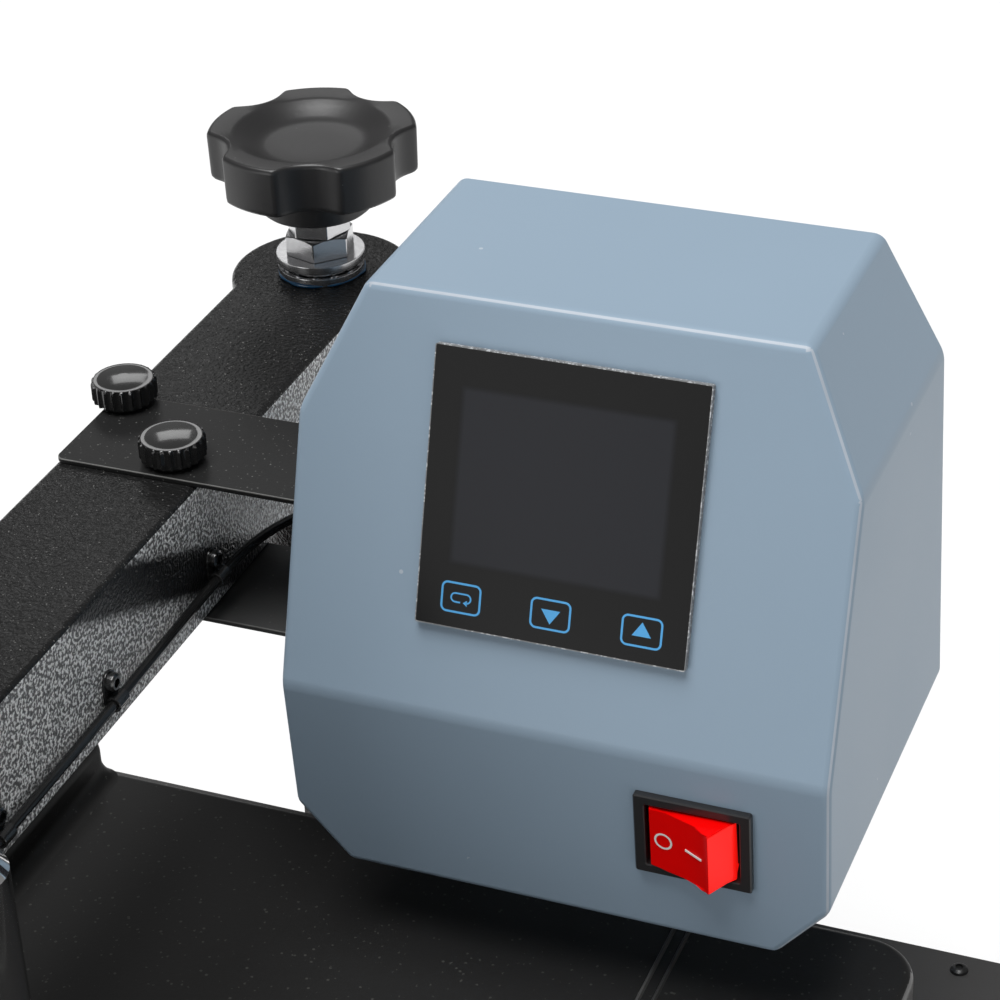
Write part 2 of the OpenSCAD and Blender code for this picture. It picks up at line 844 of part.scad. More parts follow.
module ram() {
    color("#d0d2d4")
    translate([0, platen_y, 0]) {
        translate([0, 0, hanger_z + 2]) cylinder(r = 12, h = yoke_z - 26 - hanger_z - 2);
        intersection() {
            translate([0, 0, yoke_z - 26.1]) cylinder(r = 12, h = 14.2);
            translate([-8, -14, yoke_z - 27]) cube([16, 28, 24]);
        }
        translate([0, 0, arm_top + 2.4]) cylinder(r = 16, h = 5);
        difference() {
            translate([-8, -14, yoke_z - 12]) cube([16, 28, 24]);
            translate([-9, -3.7, yoke_z]) rotate([0, 90, 0]) cylinder(r = 6.9, h = 18);
            translate([-9, 3.7, yoke_z]) rotate([0, 90, 0]) cylinder(r = 6.9, h = 18);
            translate([-9, -3.7, yoke_z - 6.9]) cube([18, 7.4, 13.8]);
        }
    }
}

module guide_rods() {
    color("#d9dadb")
    for (x = [-rod_x, rod_x]) translate([x, platen_y, hanger_z + 2]) {
        cylinder(r = rod_r, h = 106);
        translate([0, 0, 106 - eps]) cylinder(r1 = rod_r, r2 = rod_r - 3.5, h = 4);
    }
}

module return_spring() {
    color("#a8aaac")
    translate([0, platen_y, spring_z]) coil_spring(14.4, 2.4, arm_top + 2.3 - spring_z, 9);
}

// ---------- handle ----------

module crank_plate() {
    rotate([90, 0, 90]) linear_extrude(6) {
        circle(r = 14);
        translate([pin_y - crank_y, pin_z - crank_z]) circle(r = 11);
        rotate(-half_turn) translate([-crank_r, -11]) square([crank_r, 22]);
        rotate(-10) translate([-9, 0]) square([18, 50]);
    }
}

module crank() {
    color("#343435")
    difference() {
        translate([0, crank_y, crank_z]) {
            for (x = [-14.5, 8.5]) translate([x, 0, 0]) crank_plate();
            rotate([-10, 0, 0]) translate([-9, -8.9, 33]) cube([18, 17.8, 16.9]);
        }
        translate([-30, crank_y, crank_z]) rotate([0, 90, 0]) cylinder(r = 7 + run, h = 60);
        translate([-30, pin_y, pin_z]) rotate([0, 90, 0]) cylinder(r = 4, h = 60);
    }
}

module crank_pin() {
    color("#c4c6c8")
    translate([0, pin_y, pin_z]) rotate([0, 90, 0]) {
        translate([0, 0, -14.5]) cylinder(r = 4, h = 29);
        translate([0, 0, -7.5]) cylinder(r = 6, h = 15);
    }
}

grip_len = 115;

module handle_lever() {
    color("#343435")
    translate([0, crank_y, crank_z]) rotate([-10, 0, 0])
        translate([0, 0, 50]) cylinder(r = 8, h = lever_len - 50);
}

module handle_grip() {
    color("#1a1a1b")
    translate([0, crank_y, crank_z]) rotate([-10, 0, 0]) translate([0, 0, lever_len - grip_len]) {
        difference() {
            cylinder(r = 13, h = grip_len + 4);
            for (i = [1:6]) translate([0, 0, i * 15]) rotate_extrude() translate([14.6, 0]) circle(r = 3);
            translate([0, 0, -1]) cylinder(r = 8, h = grip_len + 1);
        }
        translate([0, 0, grip_len + 3.9]) cylinder(r1 = 13, r2 = 9, h = 4);
    }
}

base_spine();
front_crossbar();
rear_crossbar();
tube_end_caps();
rubber_feet();
foot_screws();
pedestal();
bed_rails();
base_bolts();
lower_plate();
silicone_pad();
post();
lift_spring();
bearing_balls();
star_knob();
adjusting_screw();
screw_nuts();
upper_race();
arm_beam();
post_sleeve();
sleeve_bushes();
lower_race();
arm_end_cap();
ram_housing();
handle_ears();
pivot_shaft();
bracket_top();
bracket_bottom();
thumb_screw_a();
thumb_screw_b();
control_box_shell();
control_box_back();
box_screws();
display_glass();
display_module();
switch_bezel();
rocker();
relay();
terminal_block();
mains_inlet();
cable_gland();
cable_clips();
clip_screws();
heater_lead();
heater_lead_loop();
heating_plate();
heating_element();
insulation_board();
platen_cover();
cover_screws();
terminal_box();
hanger_plate();
hanger_bolts();
ram();
guide_rods();
return_spring();
crank();
crank_pin();
handle_lever();
handle_grip();
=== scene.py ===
"""A swing-away flat heat press with a control box on its arm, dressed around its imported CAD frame."""

import json
import logging
import math
from dataclasses import dataclass, field, replace
from enum import Enum
from typing import Callable, Iterable, Sequence

import bmesh
import bpy
from mathutils import Matrix, Vector


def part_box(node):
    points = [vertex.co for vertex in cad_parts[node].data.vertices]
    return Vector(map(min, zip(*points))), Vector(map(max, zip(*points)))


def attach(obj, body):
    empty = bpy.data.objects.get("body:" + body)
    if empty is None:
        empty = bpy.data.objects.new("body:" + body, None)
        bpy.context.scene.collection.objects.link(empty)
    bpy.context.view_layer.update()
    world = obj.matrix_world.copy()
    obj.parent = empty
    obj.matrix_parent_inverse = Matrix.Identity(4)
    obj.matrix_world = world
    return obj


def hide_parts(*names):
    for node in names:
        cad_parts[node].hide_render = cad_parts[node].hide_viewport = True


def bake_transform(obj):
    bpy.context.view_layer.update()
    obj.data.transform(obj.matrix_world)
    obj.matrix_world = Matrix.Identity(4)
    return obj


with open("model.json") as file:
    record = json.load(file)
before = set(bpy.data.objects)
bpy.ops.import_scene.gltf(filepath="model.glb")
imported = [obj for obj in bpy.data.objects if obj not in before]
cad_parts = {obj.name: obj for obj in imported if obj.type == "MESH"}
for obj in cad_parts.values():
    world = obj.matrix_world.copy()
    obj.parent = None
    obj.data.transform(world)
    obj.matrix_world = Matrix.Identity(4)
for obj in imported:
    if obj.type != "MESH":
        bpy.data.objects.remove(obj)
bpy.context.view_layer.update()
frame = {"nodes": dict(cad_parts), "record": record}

log = logging.getLogger("heat_press")
MM = 0.001
Point = tuple[float, float, float]
Outline = list[tuple[float, float]]
Nodes = bpy.types.Nodes
Links = bpy.types.NodeLinks


# ---------------------------------------------------------------- mesh tools


class Heading(Enum):
    """The way that an arrow on a key points, as its turn on the glass."""

    UP = 0.0
    DOWN = math.pi


@dataclass(frozen=True)
class Panel:
    """A flat place on the object: an origin, a right and an up direction, and the outward normal."""

    origin: Vector
    right: Vector
    up: Vector

    def matrix(self) -> Matrix:
        """Return the matrix from panel coordinates (right, up, out) to the row frame."""
        out = self.right.cross(self.up)
        turn = Matrix((self.right, self.up, out)).transposed().to_4x4()
        return Matrix.Translation(self.origin) @ turn


def middle(node: str) -> Vector:
    """Return the middle of a CAD node's box."""
    low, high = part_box(node)
    return (low + high) / 2


def rounded_rectangle(width: float, depth: float, radius: float, steps: int = 6) -> Outline:
    """Return the anticlockwise outline of a rectangle with round corners, centred on the origin.

    Args:
        width: Size along the first axis.
        depth: Size along the second axis.
        radius: Corner radius.
        steps: Straight pieces in each corner.

    Returns:
        The outline's points.
    """
    centres = [
        (width / 2 - radius, depth / 2 - radius, 0),
        (-width / 2 + radius, depth / 2 - radius, 90),
        (-width / 2 + radius, -depth / 2 + radius, 180),
        (width / 2 - radius, -depth / 2 + radius, 270),
    ]
    points = []
    for x, y, start in centres:
        for step in range(steps + 1):
            angle = math.radians(start + 90 * step / steps)
            points.append((x + radius * math.cos(angle), y + radius * math.sin(angle)))
    return points


def add_loop(bm: bmesh.types.BMesh, outline: Outline, height: float) -> list[bmesh.types.BMEdge]:
    """Add a closed loop of edges at a height.

    Args:
        bm: The mesh to add to.
        outline: The loop's points.
        height: Its place along the third axis.

    Returns:
        The new edges in order.
    """
    verts = [bm.verts.new((x, y, height)) for x, y in outline]
    return [bm.edges.new((a, b)) for a, b in zip(verts, verts[1:] + verts[:1])]


def loft(sections: Sequence[tuple[Outline, float]], closed: bool = True) -> bmesh.types.BMesh:
    """Join a stack of outlines that have the same number of points into one skin.

    Args:
        sections: Each outline with its height, in order.
        closed: Whether both ends get a face.

    Returns:
        The skin as a bmesh.
    """
    bm = bmesh.new()
    loops = [add_loop(bm, outline, height) for outline, height in sections]
    for lower, upper in zip(loops, loops[1:]):
        bmesh.ops.bridge_loops(bm, edges=lower + upper)
    if closed:
        for loop in (loops[0], loops[-1]):
            bmesh.ops.contextual_create(bm, geom=loop)
    bmesh.ops.recalc_face_normals(bm, faces=bm.faces)
    return bm


def turned(profile: Sequence[tuple[float, float]], steps: int = 64) -> bmesh.types.BMesh:
    """Spin a profile about the third axis.

    Args:
        profile: Radius and height of each point.
        steps: Flats round the piece.

    Returns:
        The turned skin.
    """
    bm = bmesh.new()
    verts = [bm.verts.new((radius, 0, height)) for radius, height in profile]
    edges = [bm.edges.new(pair) for pair in zip(verts, verts[1:])]
    bmesh.ops.spin(
        bm, geom=verts + edges, cent=(0, 0, 0), axis=(0, 0, 1), angle=math.tau, steps=steps, use_merge=True
    )
    bmesh.ops.remove_doubles(bm, verts=bm.verts, dist=1e-7)
    bmesh.ops.recalc_face_normals(bm, faces=bm.faces)
    return bm


def slab(width: float, depth: float, height: float) -> bmesh.types.BMesh:
    """Return a block centred on the origin."""
    bm = bmesh.new()
    bmesh.ops.create_cube(bm, size=1)
    bmesh.ops.scale(bm, vec=(width, depth, height), verts=bm.verts)
    return bm


def round_edges(
    bm: bmesh.types.BMesh,
    width: float,
    segments: int = 3,
    angle: float = 30,
    pick: Callable[[bmesh.types.BMEdge], bool] = lambda edge: True,
) -> bmesh.types.BMesh:
    """Round the sharp edges of a skin.

    Args:
        bm: The skin.
        width: How far the rounding reaches from each edge.
        segments: Faces across each rounding.
        angle: Edges sharper than this many degrees are rounded.
        pick: A further test that an edge has to pass.

    Returns:
        The same bmesh.
    """
    limit = math.radians(angle)
    edges = [e for e in bm.edges if e.is_manifold and e.calc_face_angle(0) > limit and pick(e)]
    bmesh.ops.bevel(
        bm, geom=edges, offset=width, segments=segments, profile=0.5, affect="EDGES", material=-1,
        clamp_overlap=True,
    )
    return bm


def soften(mesh: bpy.types.Mesh, angle: float = 32) -> None:
    """Shade a mesh smooth, with its edges above an angle kept sharp.

    Args:
        mesh: The mesh to shade.
        angle: The limit in degrees.
    """
    bm = bmesh.new()
    bm.from_mesh(mesh)
    limit = math.radians(angle)
    for face in bm.faces:
        face.smooth = True
    for edge in bm.edges:
        edge.smooth = not (edge.is_manifold and edge.calc_face_angle(0) > limit)
    bm.to_mesh(mesh)
    bm.free()


def piece(
    name: str, bm: bmesh.types.BMesh, finish: "Finish", place: Matrix | None = None
) -> bpy.types.Object:
    """Turn a bmesh into a finished object at the origin.

    Args:
        name: The object's name.
        bm: Its skin, which is freed.
        finish: The finish that dresses it.
        place: Where its own coordinates lie in the row frame.

    Returns:
        The object.
    """
    if place is not None:
        bm.transform(place)
    mesh = bpy.data.meshes.new(name)
    bm.to_mesh(mesh)
    bm.free()
    soften(mesh)
    made = bpy.data.objects.new(name, mesh)
    bpy.context.scene.collection.objects.link(made)
    made.data.materials.append(finish.material())
    return made


def repaint(made: bpy.types.Object, finish: "Finish", pick: Callable[[bpy.types.MeshPolygon], bool]) -> None:
    """Give some of an object's faces a second finish.

    Args:
        made: The object.
        finish: The second finish.
        pick: Tells which faces get it.
    """
    made.data.materials.append(finish.material())
    index = len(made.data.materials) - 1
    for face in made.data.polygons:
        if pick(face):
            face.material_index = index


def crisp(made: bpy.types.Object) -> None:
    """Weigh an object's shading by face area, so that flats stay flat beside their rounded edges."""
    weigh = made.modifiers.new("normals", "WEIGHTED_NORMAL")
    weigh.mode = "FACE_AREA"
    weigh.keep_sharp = True


def joined(parts: Iterable[bmesh.types.BMesh]) -> bmesh.types.BMesh:
    """Gather several skins in one, freeing them."""
    whole = bmesh.new()
    for part in parts:
        mesh = bpy.data.meshes.new("part")
        part.to_mesh(mesh)
        part.free()
        whole.from_mesh(mesh)
        bpy.data.meshes.remove(mesh)
    return whole


def bake_modifiers(made: bpy.types.Object) -> None:
    """Replace an object's mesh by what its modifiers make of it."""
    graph = bpy.context.evaluated_depsgraph_get()
    mesh = bpy.data.meshes.new_from_object(made.evaluated_get(graph))
    made.modifiers.clear()
    made.data = mesh
    soften(mesh)


def cut(made: bpy.types.Object, cutters: Iterable[bmesh.types.BMesh]) -> None:
    """Cut bodies out of an object.

    Args:
        made: The object that is cut.
        cutters: The bodies, in the row frame, which are freed.
    """
    tools = []
    for index, bm in enumerate(cutters):
        mesh = bpy.data.meshes.new(f"cutter_{index}")
        bm.to_mesh(mesh)
        bm.free()
        tool = bpy.data.objects.new(mesh.name, mesh)
        bpy.context.scene.collection.objects.link(tool)
        step = made.modifiers.new(mesh.name, "BOOLEAN")
        step.operation = "DIFFERENCE"
        step.object = tool
        tools.append(tool)
    bpy.context.view_layer.update()
    bake_modifiers(made)
    for tool in tools:
        mesh = tool.data
        bpy.data.objects.remove(tool)
        bpy.data.meshes.remove(mesh)


def post_like(radius: float, low: float, high: float, centre: Vector, steps: int = 64) -> bmesh.types.BMesh:
    """Return an upright cylinder between two heights."""
    bm = bmesh.new()
    bmesh.ops.create_cone(
        bm, cap_ends=True, segments=steps, radius1=radius, radius2=radius, depth=high - low
    )
    bmesh.ops.translate(bm, vec=(centre.x, centre.y, (low + high) / 2), verts=bm.verts)
    return bm


def tube_along(points: Sequence[Point], radius: float, name: str, finish: "Finish") -> bpy.types.Object:
    """Make a round flexible lead along a smooth curve through points.

    Args:
        points: The route in metres.
        radius: The lead's radius.
        name: The object's name.
        finish: Its finish.

    Returns:
        The lead as a mesh object.
    """
    curve = bpy.data.curves.new(name, "CURVE")
    curve.dimensions = "3D"
    curve.bevel_depth = radius
    curve.bevel_resolution = 4
    curve.resolution_u = 6
    curve.use_fill_caps = True
    spline = curve.splines.new("NURBS")
    spline.points.add(len(points) - 1)
    for target, point in zip(spline.points, points):
        target.co = (*point, 1)
    spline.order_u = 4
    spline.use_endpoint_u = True
    holder = bpy.data.objects.new(name, curve)
    bpy.context.scene.collection.objects.link(holder)
    graph = bpy.context.evaluated_depsgraph_get()
    mesh = bpy.data.meshes.new_from_object(holder.evaluated_get(graph))
    bpy.data.objects.remove(holder)
    bpy.data.curves.remove(curve)
    bm = bmesh.new()
    bm.from_mesh(mesh)
    bpy.data.meshes.remove(mesh)
    bmesh.ops.remove_doubles(bm, verts=bm.verts, dist=1e-6)
    bmesh.ops.recalc_face_normals(bm, faces=bm.faces)
    return piece(name, bm, finish)


# ---------------------------------------------------------------- finishes


def node_group(name: str, inputs: dict[str, float], outputs: Sequence[str]) -> bpy.types.NodeTree:
    """Start a shader node group with float inputs and outputs, with its group nodes added."""
    tree = bpy.data.node_groups.new(name, "ShaderNodeTree")
    for label, value in inputs.items():
        socket = tree.interface.new_socket(label, in_out="INPUT", socket_type="NodeSocketFloat")
        socket.default_value = value
    for label in outputs:
        tree.interface.new_socket(label, in_out="OUTPUT", socket_type="NodeSocketFloat")
    tree.nodes.new("NodeGroupInput").name = "in"
    tree.nodes.new("NodeGroupOutput").name = "out"
    return tree


def grain_group() -> bpy.types.NodeTree:
    """Return the shared grain group: a fine height and a slow drift, both over object space."""
    name = "paint_grain"
    if name in bpy.data.node_groups:
        return bpy.data.node_groups[name]
    tree = node_group(name, {"Scale": 400.0, "Drift Scale": 12.0}, ("Height", "Drift"))
    nodes, links = tree.nodes, tree.links
    coords = nodes.new("ShaderNodeTexCoord")
    fine = nodes.new("ShaderNodeTexNoise")
    fine.inputs["Detail"].default_value = 2.0
    fine.inputs["Roughness"].default_value = 0.45
    slow = nodes.new("ShaderNodeTexNoise")
    slow.inputs["Detail"].default_value = 4.0
    links.new(coords.outputs["Object"], fine.inputs["Vector"])
    links.new(coords.outputs["Object"], slow.inputs["Vector"])
    links.new(nodes["in"].outputs["Scale"], fine.inputs["Scale"])
    links.new(nodes["in"].outputs["Drift Scale"], slow.inputs["Scale"])
    links.new(fine.outputs["Fac"], nodes["out"].inputs["Height"])
    links.new(slow.outputs["Fac"], nodes["out"].inputs["Drift"])
    return tree


def speck_group() -> bpy.types.NodeTree:
    """Return the shared speck group: a mask of sparse dust or chips over object space."""
    name = "dust_specks"
    if name in bpy.data.node_groups:
        return bpy.data.node_groups[name]
    tree = node_group(name, {"Scale": 220.0, "Amount": 0.08}, ("Mask",))
    nodes, links = tree.nodes, tree.links
    coords = nodes.new("ShaderNodeTexCoord")
    cells = nodes.new("ShaderNodeTexVoronoi")
    rarity = nodes.new("ShaderNodeTexNoise")
    rarity.inputs["Detail"].default_value = 3.0
    near = nodes.new("ShaderNodeMath")
    near.operation = "LESS_THAN"
    rare = nodes.new("ShaderNodeMath")
    rare.operation = "GREATER_THAN"
    rare.inputs[1].default_value = 0.56
    both = nodes.new("ShaderNodeMath")
    both.operation = "MULTIPLY"
    links.new(coords.outputs["Object"], cells.inputs["Vector"])
    links.new(coords.outputs["Object"], rarity.inputs["Vector"])
    links.new(nodes["in"].outputs["Scale"], cells.inputs["Scale"])
    links.new(nodes["in"].outputs["Scale"], rarity.inputs["Scale"])
    links.new(cells.outputs["Distance"], near.inputs[0])
    links.new(nodes["in"].outputs["Amount"], near.inputs[1])
    links.new(rarity.outputs["Fac"], rare.inputs[0])
    links.new(near.outputs[0], both.inputs[0])
    links.new(rare.outputs[0], both.inputs[1])
    links.new(both.outputs[0], nodes["out"].inputs["Mask"])
    return tree


def shade_band_group() -> bpy.types.NodeTree:
    """Return the mask of the slanting band of painted shade on the arm's side, a dark reflection of the box's wall.
    """
    name = "smooth_band"
    if name in bpy.data.node_groups:
        return bpy.data.node_groups[name]
    slope, level, half_width, softness = 0.467, 0.3345, 0.0076, 0.0016
    tree = node_group(name, {}, ("Mask",))
    nodes, links = tree.nodes, tree.links
    coords = nodes.new("ShaderNodeTexCoord")
    along = nodes.new("ShaderNodeVectorMath")
    along.operation = "DOT_PRODUCT"
    along.inputs[1].default_value = (0, slope, 1)
    ripple = nodes.new("ShaderNodeTexNoise")
    ripple.inputs["Scale"].default_value = 900
    shaken = nodes.new("ShaderNodeMath")
    shaken.operation = "MULTIPLY_ADD"
    shaken.inputs[1].default_value = 2.5 * softness
    away = nodes.new("ShaderNodeMath")
    away.operation = "SUBTRACT"
    away.inputs[1].default_value = level + 1.25 * softness
    distance = nodes.new("ShaderNodeMath")
    distance.operation = "ABSOLUTE"
    mask = nodes.new("ShaderNodeMapRange")
    mask.inputs["From Min"].default_value = half_width + softness
    mask.inputs["From Max"].default_value = half_width - softness
    links.new(coords.outputs["Object"], along.inputs[0])
    links.new(coords.outputs["Object"], ripple.inputs["Vector"])
    links.new(ripple.outputs["Fac"], shaken.inputs[0])
    links.new(along.outputs["Value"], shaken.inputs[2])
    links.new(shaken.outputs[0], away.inputs[0])
    links.new(away.outputs[0], distance.inputs[0])
    links.new(distance.outputs[0], mask.inputs["Value"])
    links.new(mask.outputs["Result"], nodes["out"].inputs["Mask"])
    return tree


@dataclass(frozen=True)
class Finish:
    """One surface finish, from which its material is built once."""

    name: str
    slot: str
    colour: tuple[float, float, float]
    roughness: float = 0.4
    metallic: float = 0.0
    coat: float = 0.0
    coat_roughness: float = 0.1
    specular: float = 0.5
    grain_scale: float = 900.0
    grain_depth: float = 0.02
    grain_distance: float = 0.0002
    drift_scale: float = 14.0
    drift: float = 0.12
    roughness_drift: float = 0.15
    specks: float = 0.0
    speck_scale: float = 260.0
    speck_colour: tuple[float, float, float] = (0.35, 0.34, 0.32)
    # glint_lift paints the grain's crests lighter as glints; shade darkens a band on the surface as painted shade
    glint_lift: float = 0.0
    shade: float = 0.0
    emission: float = 0.0

    def material(self) -> bpy.types.Material:
        """Return this finish's material, built on first use."""
        if self.name in bpy.data.materials:
            return bpy.data.materials[self.name]
        made = bpy.data.materials.new(self.name)
        made.use_nodes = True
        nodes, links = made.node_tree.nodes, made.node_tree.links
        shader = nodes["Principled BSDF"]
        shader.inputs["Metallic"].default_value = self.metallic
        shader.inputs["Specular IOR Level"].default_value = self.specular
        shader.inputs["Coat Weight"].default_value = self.coat
        shader.inputs["Coat Roughness"].default_value = self.coat_roughness
        if self.emission:
            shader.inputs["Emission Color"].default_value = (*self.colour, 1)
            shader.inputs["Emission Strength"].default_value = self.emission
        grain = nodes.new("ShaderNodeGroup")
        grain.node_tree = grain_group()
        grain.inputs["Scale"].default_value = self.grain_scale
        grain.inputs["Drift Scale"].default_value = self.drift_scale
        self.dress_colour(nodes, links, shader, grain)
        self.dress_roughness(nodes, links, shader, grain)
        self.dress_bump(nodes, links, shader, grain)
        return made

    def dress_colour(self, nodes: Nodes, links: Links, shader: bpy.types.Node, grain: bpy.types.Node) -> None:
        """Drift the colour slowly over the surface, and scatter specks on it."""
        mix = nodes.new("ShaderNodeMix")
        mix.data_type = "RGBA"
        low = tuple(max(0.0, c * (1 - self.drift)) for c in self.colour)
        high = tuple(min(1.0, c * (1 + self.drift)) for c in self.colour)
        mix.inputs["A"].default_value = (*low, 1)
        mix.inputs["B"].default_value = (*high, 1)
        links.new(grain.outputs["Drift"], mix.inputs["Factor"])
        result = mix.outputs["Result"]
        if self.glint_lift:
            result = self.dress_glint_lift(nodes, links, grain, result)
        if self.specks:
            dust = nodes.new("ShaderNodeGroup")
            dust.node_tree = speck_group()
            dust.inputs["Scale"].default_value = self.speck_scale
            dust.inputs["Amount"].default_value = self.specks
            top = nodes.new("ShaderNodeMix")
            top.data_type = "RGBA"
            links.new(dust.outputs["Mask"], top.inputs["Factor"])
            links.new(result, top.inputs["A"])
            top.inputs["B"].default_value = (*self.speck_colour, 1)
            result = top.outputs["Result"]
        links.new(result, shader.inputs["Base Color"])

    def dress_glint_lift(
        self, nodes: Nodes, links: Links, grain: bpy.types.Node, base: bpy.types.NodeSocket
    ) -> bpy.types.NodeSocket:
        """Paint the fine grain's crests lighter as glints, and darken the slanting band as painted shade.

        Args:
            nodes: The material's nodes.
            links: The material's links.
            grain: The grain group's node.
            base: The colour so far.

        Returns:
            The colour with its painted glints and painted shade.
        """
        crest = nodes.new("ShaderNodeMapRange")
        crest.inputs["From Min"].default_value = 0.46
        crest.inputs["From Max"].default_value = 0.6
        links.new(grain.outputs["Height"], crest.inputs["Value"])
        light = nodes.new("ShaderNodeMix")
        light.data_type = "RGBA"
        light.inputs["B"].default_value = (*(min(1.0, c * (1 + self.glint_lift)) for c in self.colour), 1)
        links.new(base, light.inputs["A"])
        links.new(crest.outputs["Result"], light.inputs["Factor"])
        if not self.shade:
            return light.outputs["Result"]
        # painted shade: the band is darkened where the box wall's dark reflection falls
        band = nodes.new("ShaderNodeGroup")
        band.node_tree = shade_band_group()
        dark = nodes.new("ShaderNodeMix")
        dark.data_type = "RGBA"
        dark.inputs["B"].default_value = (*(c * (1 - self.shade) for c in self.colour), 1)
        links.new(light.outputs["Result"], dark.inputs["A"])
        links.new(band.outputs["Mask"], dark.inputs["Factor"])
        return dark.outputs["Result"]

    def dress_roughness(
        self, nodes: Nodes, links: Links, shader: bpy.types.Node, grain: bpy.types.Node
    ) -> None:
        """Vary the roughness with the slow drift."""
        spread = nodes.new("ShaderNodeMapRange")
        spread.inputs["To Min"].default_value = self.roughness * (1 - self.roughness_drift)
        spread.inputs["To Max"].default_value = min(1.0, self.roughness * (1 + self.roughness_drift))
        links.new(grain.outputs["Drift"], spread.inputs["Value"])
        links.new(spread.outputs["Result"], shader.inputs["Roughness"])

    def dress_bump(self, nodes: Nodes, links: Links, shader: bpy.types.Node, grain: bpy.types.Node) -> None:
        """Raise the fine grain as bump."""
        bump = nodes.new("ShaderNodeBump")
        bump.inputs["Strength"].default_value = self.grain_depth
        bump.inputs["Distance"].default_value = self.grain_distance
        links.new(grain.outputs["Height"], bump.inputs["Height"])
        links.new(bump.outputs["Normal"], shader.inputs["Normal"])


BOX_PAINT = Finish(
    "blue_grey_powder_coat", "blue_grey_paint", (0.262, 0.345, 0.43), roughness=0.36, grain_scale=1400,
    grain_depth=0.06, drift=0.03, specks=0.05, speck_scale=90, speck_colour=(0.42, 0.48, 0.54), specular=0.15,
)
# a lighter copy of the box paint: painted highlight along rounded edges, partly rubbed paint at the right corner
CORNER_HIGHLIGHT = Finish(
    "blue_grey_worn_corner", "blue_grey_paint", (0.4, 0.45, 0.51), roughness=0.4, grain_scale=700,
    grain_depth=0.06, drift=0.2, drift_scale=60, specular=0.3,
)
ARM_PAINT = Finish(
    "orange_peel_black", "textured_black_paint", (0.011, 0.011, 0.011), roughness=0.24, specular=0.28,
    grain_scale=900, grain_depth=1.0, grain_distance=0.0005, drift=0.2, specks=0.2, speck_scale=880,
    speck_colour=(0.12, 0.12, 0.115),
)
# the arm's +X side: the same black paint made lighter as a painted sheen, with painted glints on the grain and a
# painted shade band
ARM_SIDE_SHEEN_PAINT = Finish(
    "hammered_black_side", "textured_black_paint", (0.115, 0.115, 0.115), roughness=0.3, grain_scale=1050,
    grain_depth=1.0, grain_distance=0.0006, drift=0.15, glint_lift=7.5, specks=0.0, speck_scale=210,
    speck_colour=(0.3, 0.3, 0.295), shade=0.93,
)
BRACKET_PAINT = Finish(
    "satin_bracket_black", "bracket_paint", (0.014, 0.014, 0.014), roughness=0.42, grain_scale=1100,
    grain_depth=0.12, drift=0.12, specks=0.2, speck_scale=880, speck_colour=(0.13, 0.13, 0.125),
    specular=0.18,
)
# the bracket paint made lighter for the lower plate: painted light standing in for light that its shaded faces miss
LOWER_BRACKET_PAINTED_LIGHT = Finish(
    "satin_lower_bracket_black", "bracket_paint", (0.05, 0.05, 0.05), roughness=0.42, grain_scale=1100,
    grain_depth=0.12, drift=0.12, specks=0.13, speck_scale=430, speck_colour=(0.1, 0.1, 0.095), specular=0.3,
)
# painted highlight on the bracket plates' upward-facing rounded edges
BRACKET_EDGE_HIGHLIGHT = Finish(
    "bracket_rubbed_edge", "bracket_paint", (0.12, 0.12, 0.115), roughness=0.35, grain_depth=0.1, drift=0.5,
    drift_scale=150,
)
FRAME_PAINT = Finish(
    "frame_powder_coat", "frame_paint", (0.018, 0.018, 0.0185), roughness=0.38, grain_scale=760,
    grain_depth=0.35, grain_distance=0.0003, drift=0.15, specks=0.06, speck_scale=150,
    speck_colour=(0.11, 0.11, 0.105),
)
COVER_PAINT = Finish(
    "cover_satin_black", "satin_black_paint", (0.0095, 0.0093, 0.0092), roughness=0.5, grain_scale=900,
    grain_depth=0.14, drift=0.22, specks=0.22, speck_scale=520, speck_colour=(0.04, 0.04, 0.037),
    specular=0.25,
)
# the flange's faces get a lighter copy of the cover's satin black
FLANGE_PAINT = Finish(
    "flange_satin_grey", "satin_black_paint", (0.042, 0.0405, 0.04), roughness=0.45, grain_depth=0.1,
    drift=0.12, specks=0.06, speck_scale=140, speck_colour=(0.1, 0.1, 0.095),
)
WALL_SHEEN = Finish(
    "lid_wall_sheen", "satin_black_paint", (0.12, 0.118, 0.116), roughness=0.4, grain_depth=0.1, drift=0.15,
)
# the cover's satin black made lighter on the bead ridges: painted highlight lines, every second one dimmer
BEAD_HIGHLIGHT = Finish(
    "bead_edge", "satin_black_paint", (0.06, 0.06, 0.058), roughness=0.4, grain_depth=0.1, drift=0.4,
    drift_scale=200,
)
BEAD_DIM_HIGHLIGHT = Finish(
    "bead_edge_dim", "satin_black_paint", (0.032, 0.032, 0.031), roughness=0.45, grain_depth=0.1, drift=0.4,
    drift_scale=200,
)
SCREW_BLACK = Finish("blackened_screws", "black_screws", (0.03, 0.03, 0.03), roughness=0.35, metallic=0.6)
DARK_STEEL = Finish(
    "oiled_dark_steel", "black_screws", (0.13, 0.13, 0.13), roughness=0.25, metallic=1.0, grain_depth=0.15,
    grain_scale=900, drift=0.3, drift_scale=300,
)
CLIP_NYLON = Finish(
    "clip_nylon", "black_plastic", (0.016, 0.016, 0.016), roughness=0.15, coat=0.6, grain_depth=0.08,
)
ZINC = Finish(
    "zinc_plate", "zinc_steel", (0.62, 0.62, 0.63), roughness=0.24, metallic=1.0, grain_scale=520,
    grain_depth=0.1, drift=0.12, drift_scale=90, roughness_drift=0.35,
)
CHROME = Finish(
    "hard_chrome", "chrome_steel", (0.78, 0.78, 0.78), roughness=0.09, metallic=1.0, grain_scale=700,
    grain_depth=0.02, drift=0.04, roughness_drift=0.4,
)
BRONZE = Finish(
    "sintered_bronze", "bronze_bush", (0.55, 0.36, 0.17), roughness=0.4, metallic=1.0, grain_depth=0.1
)
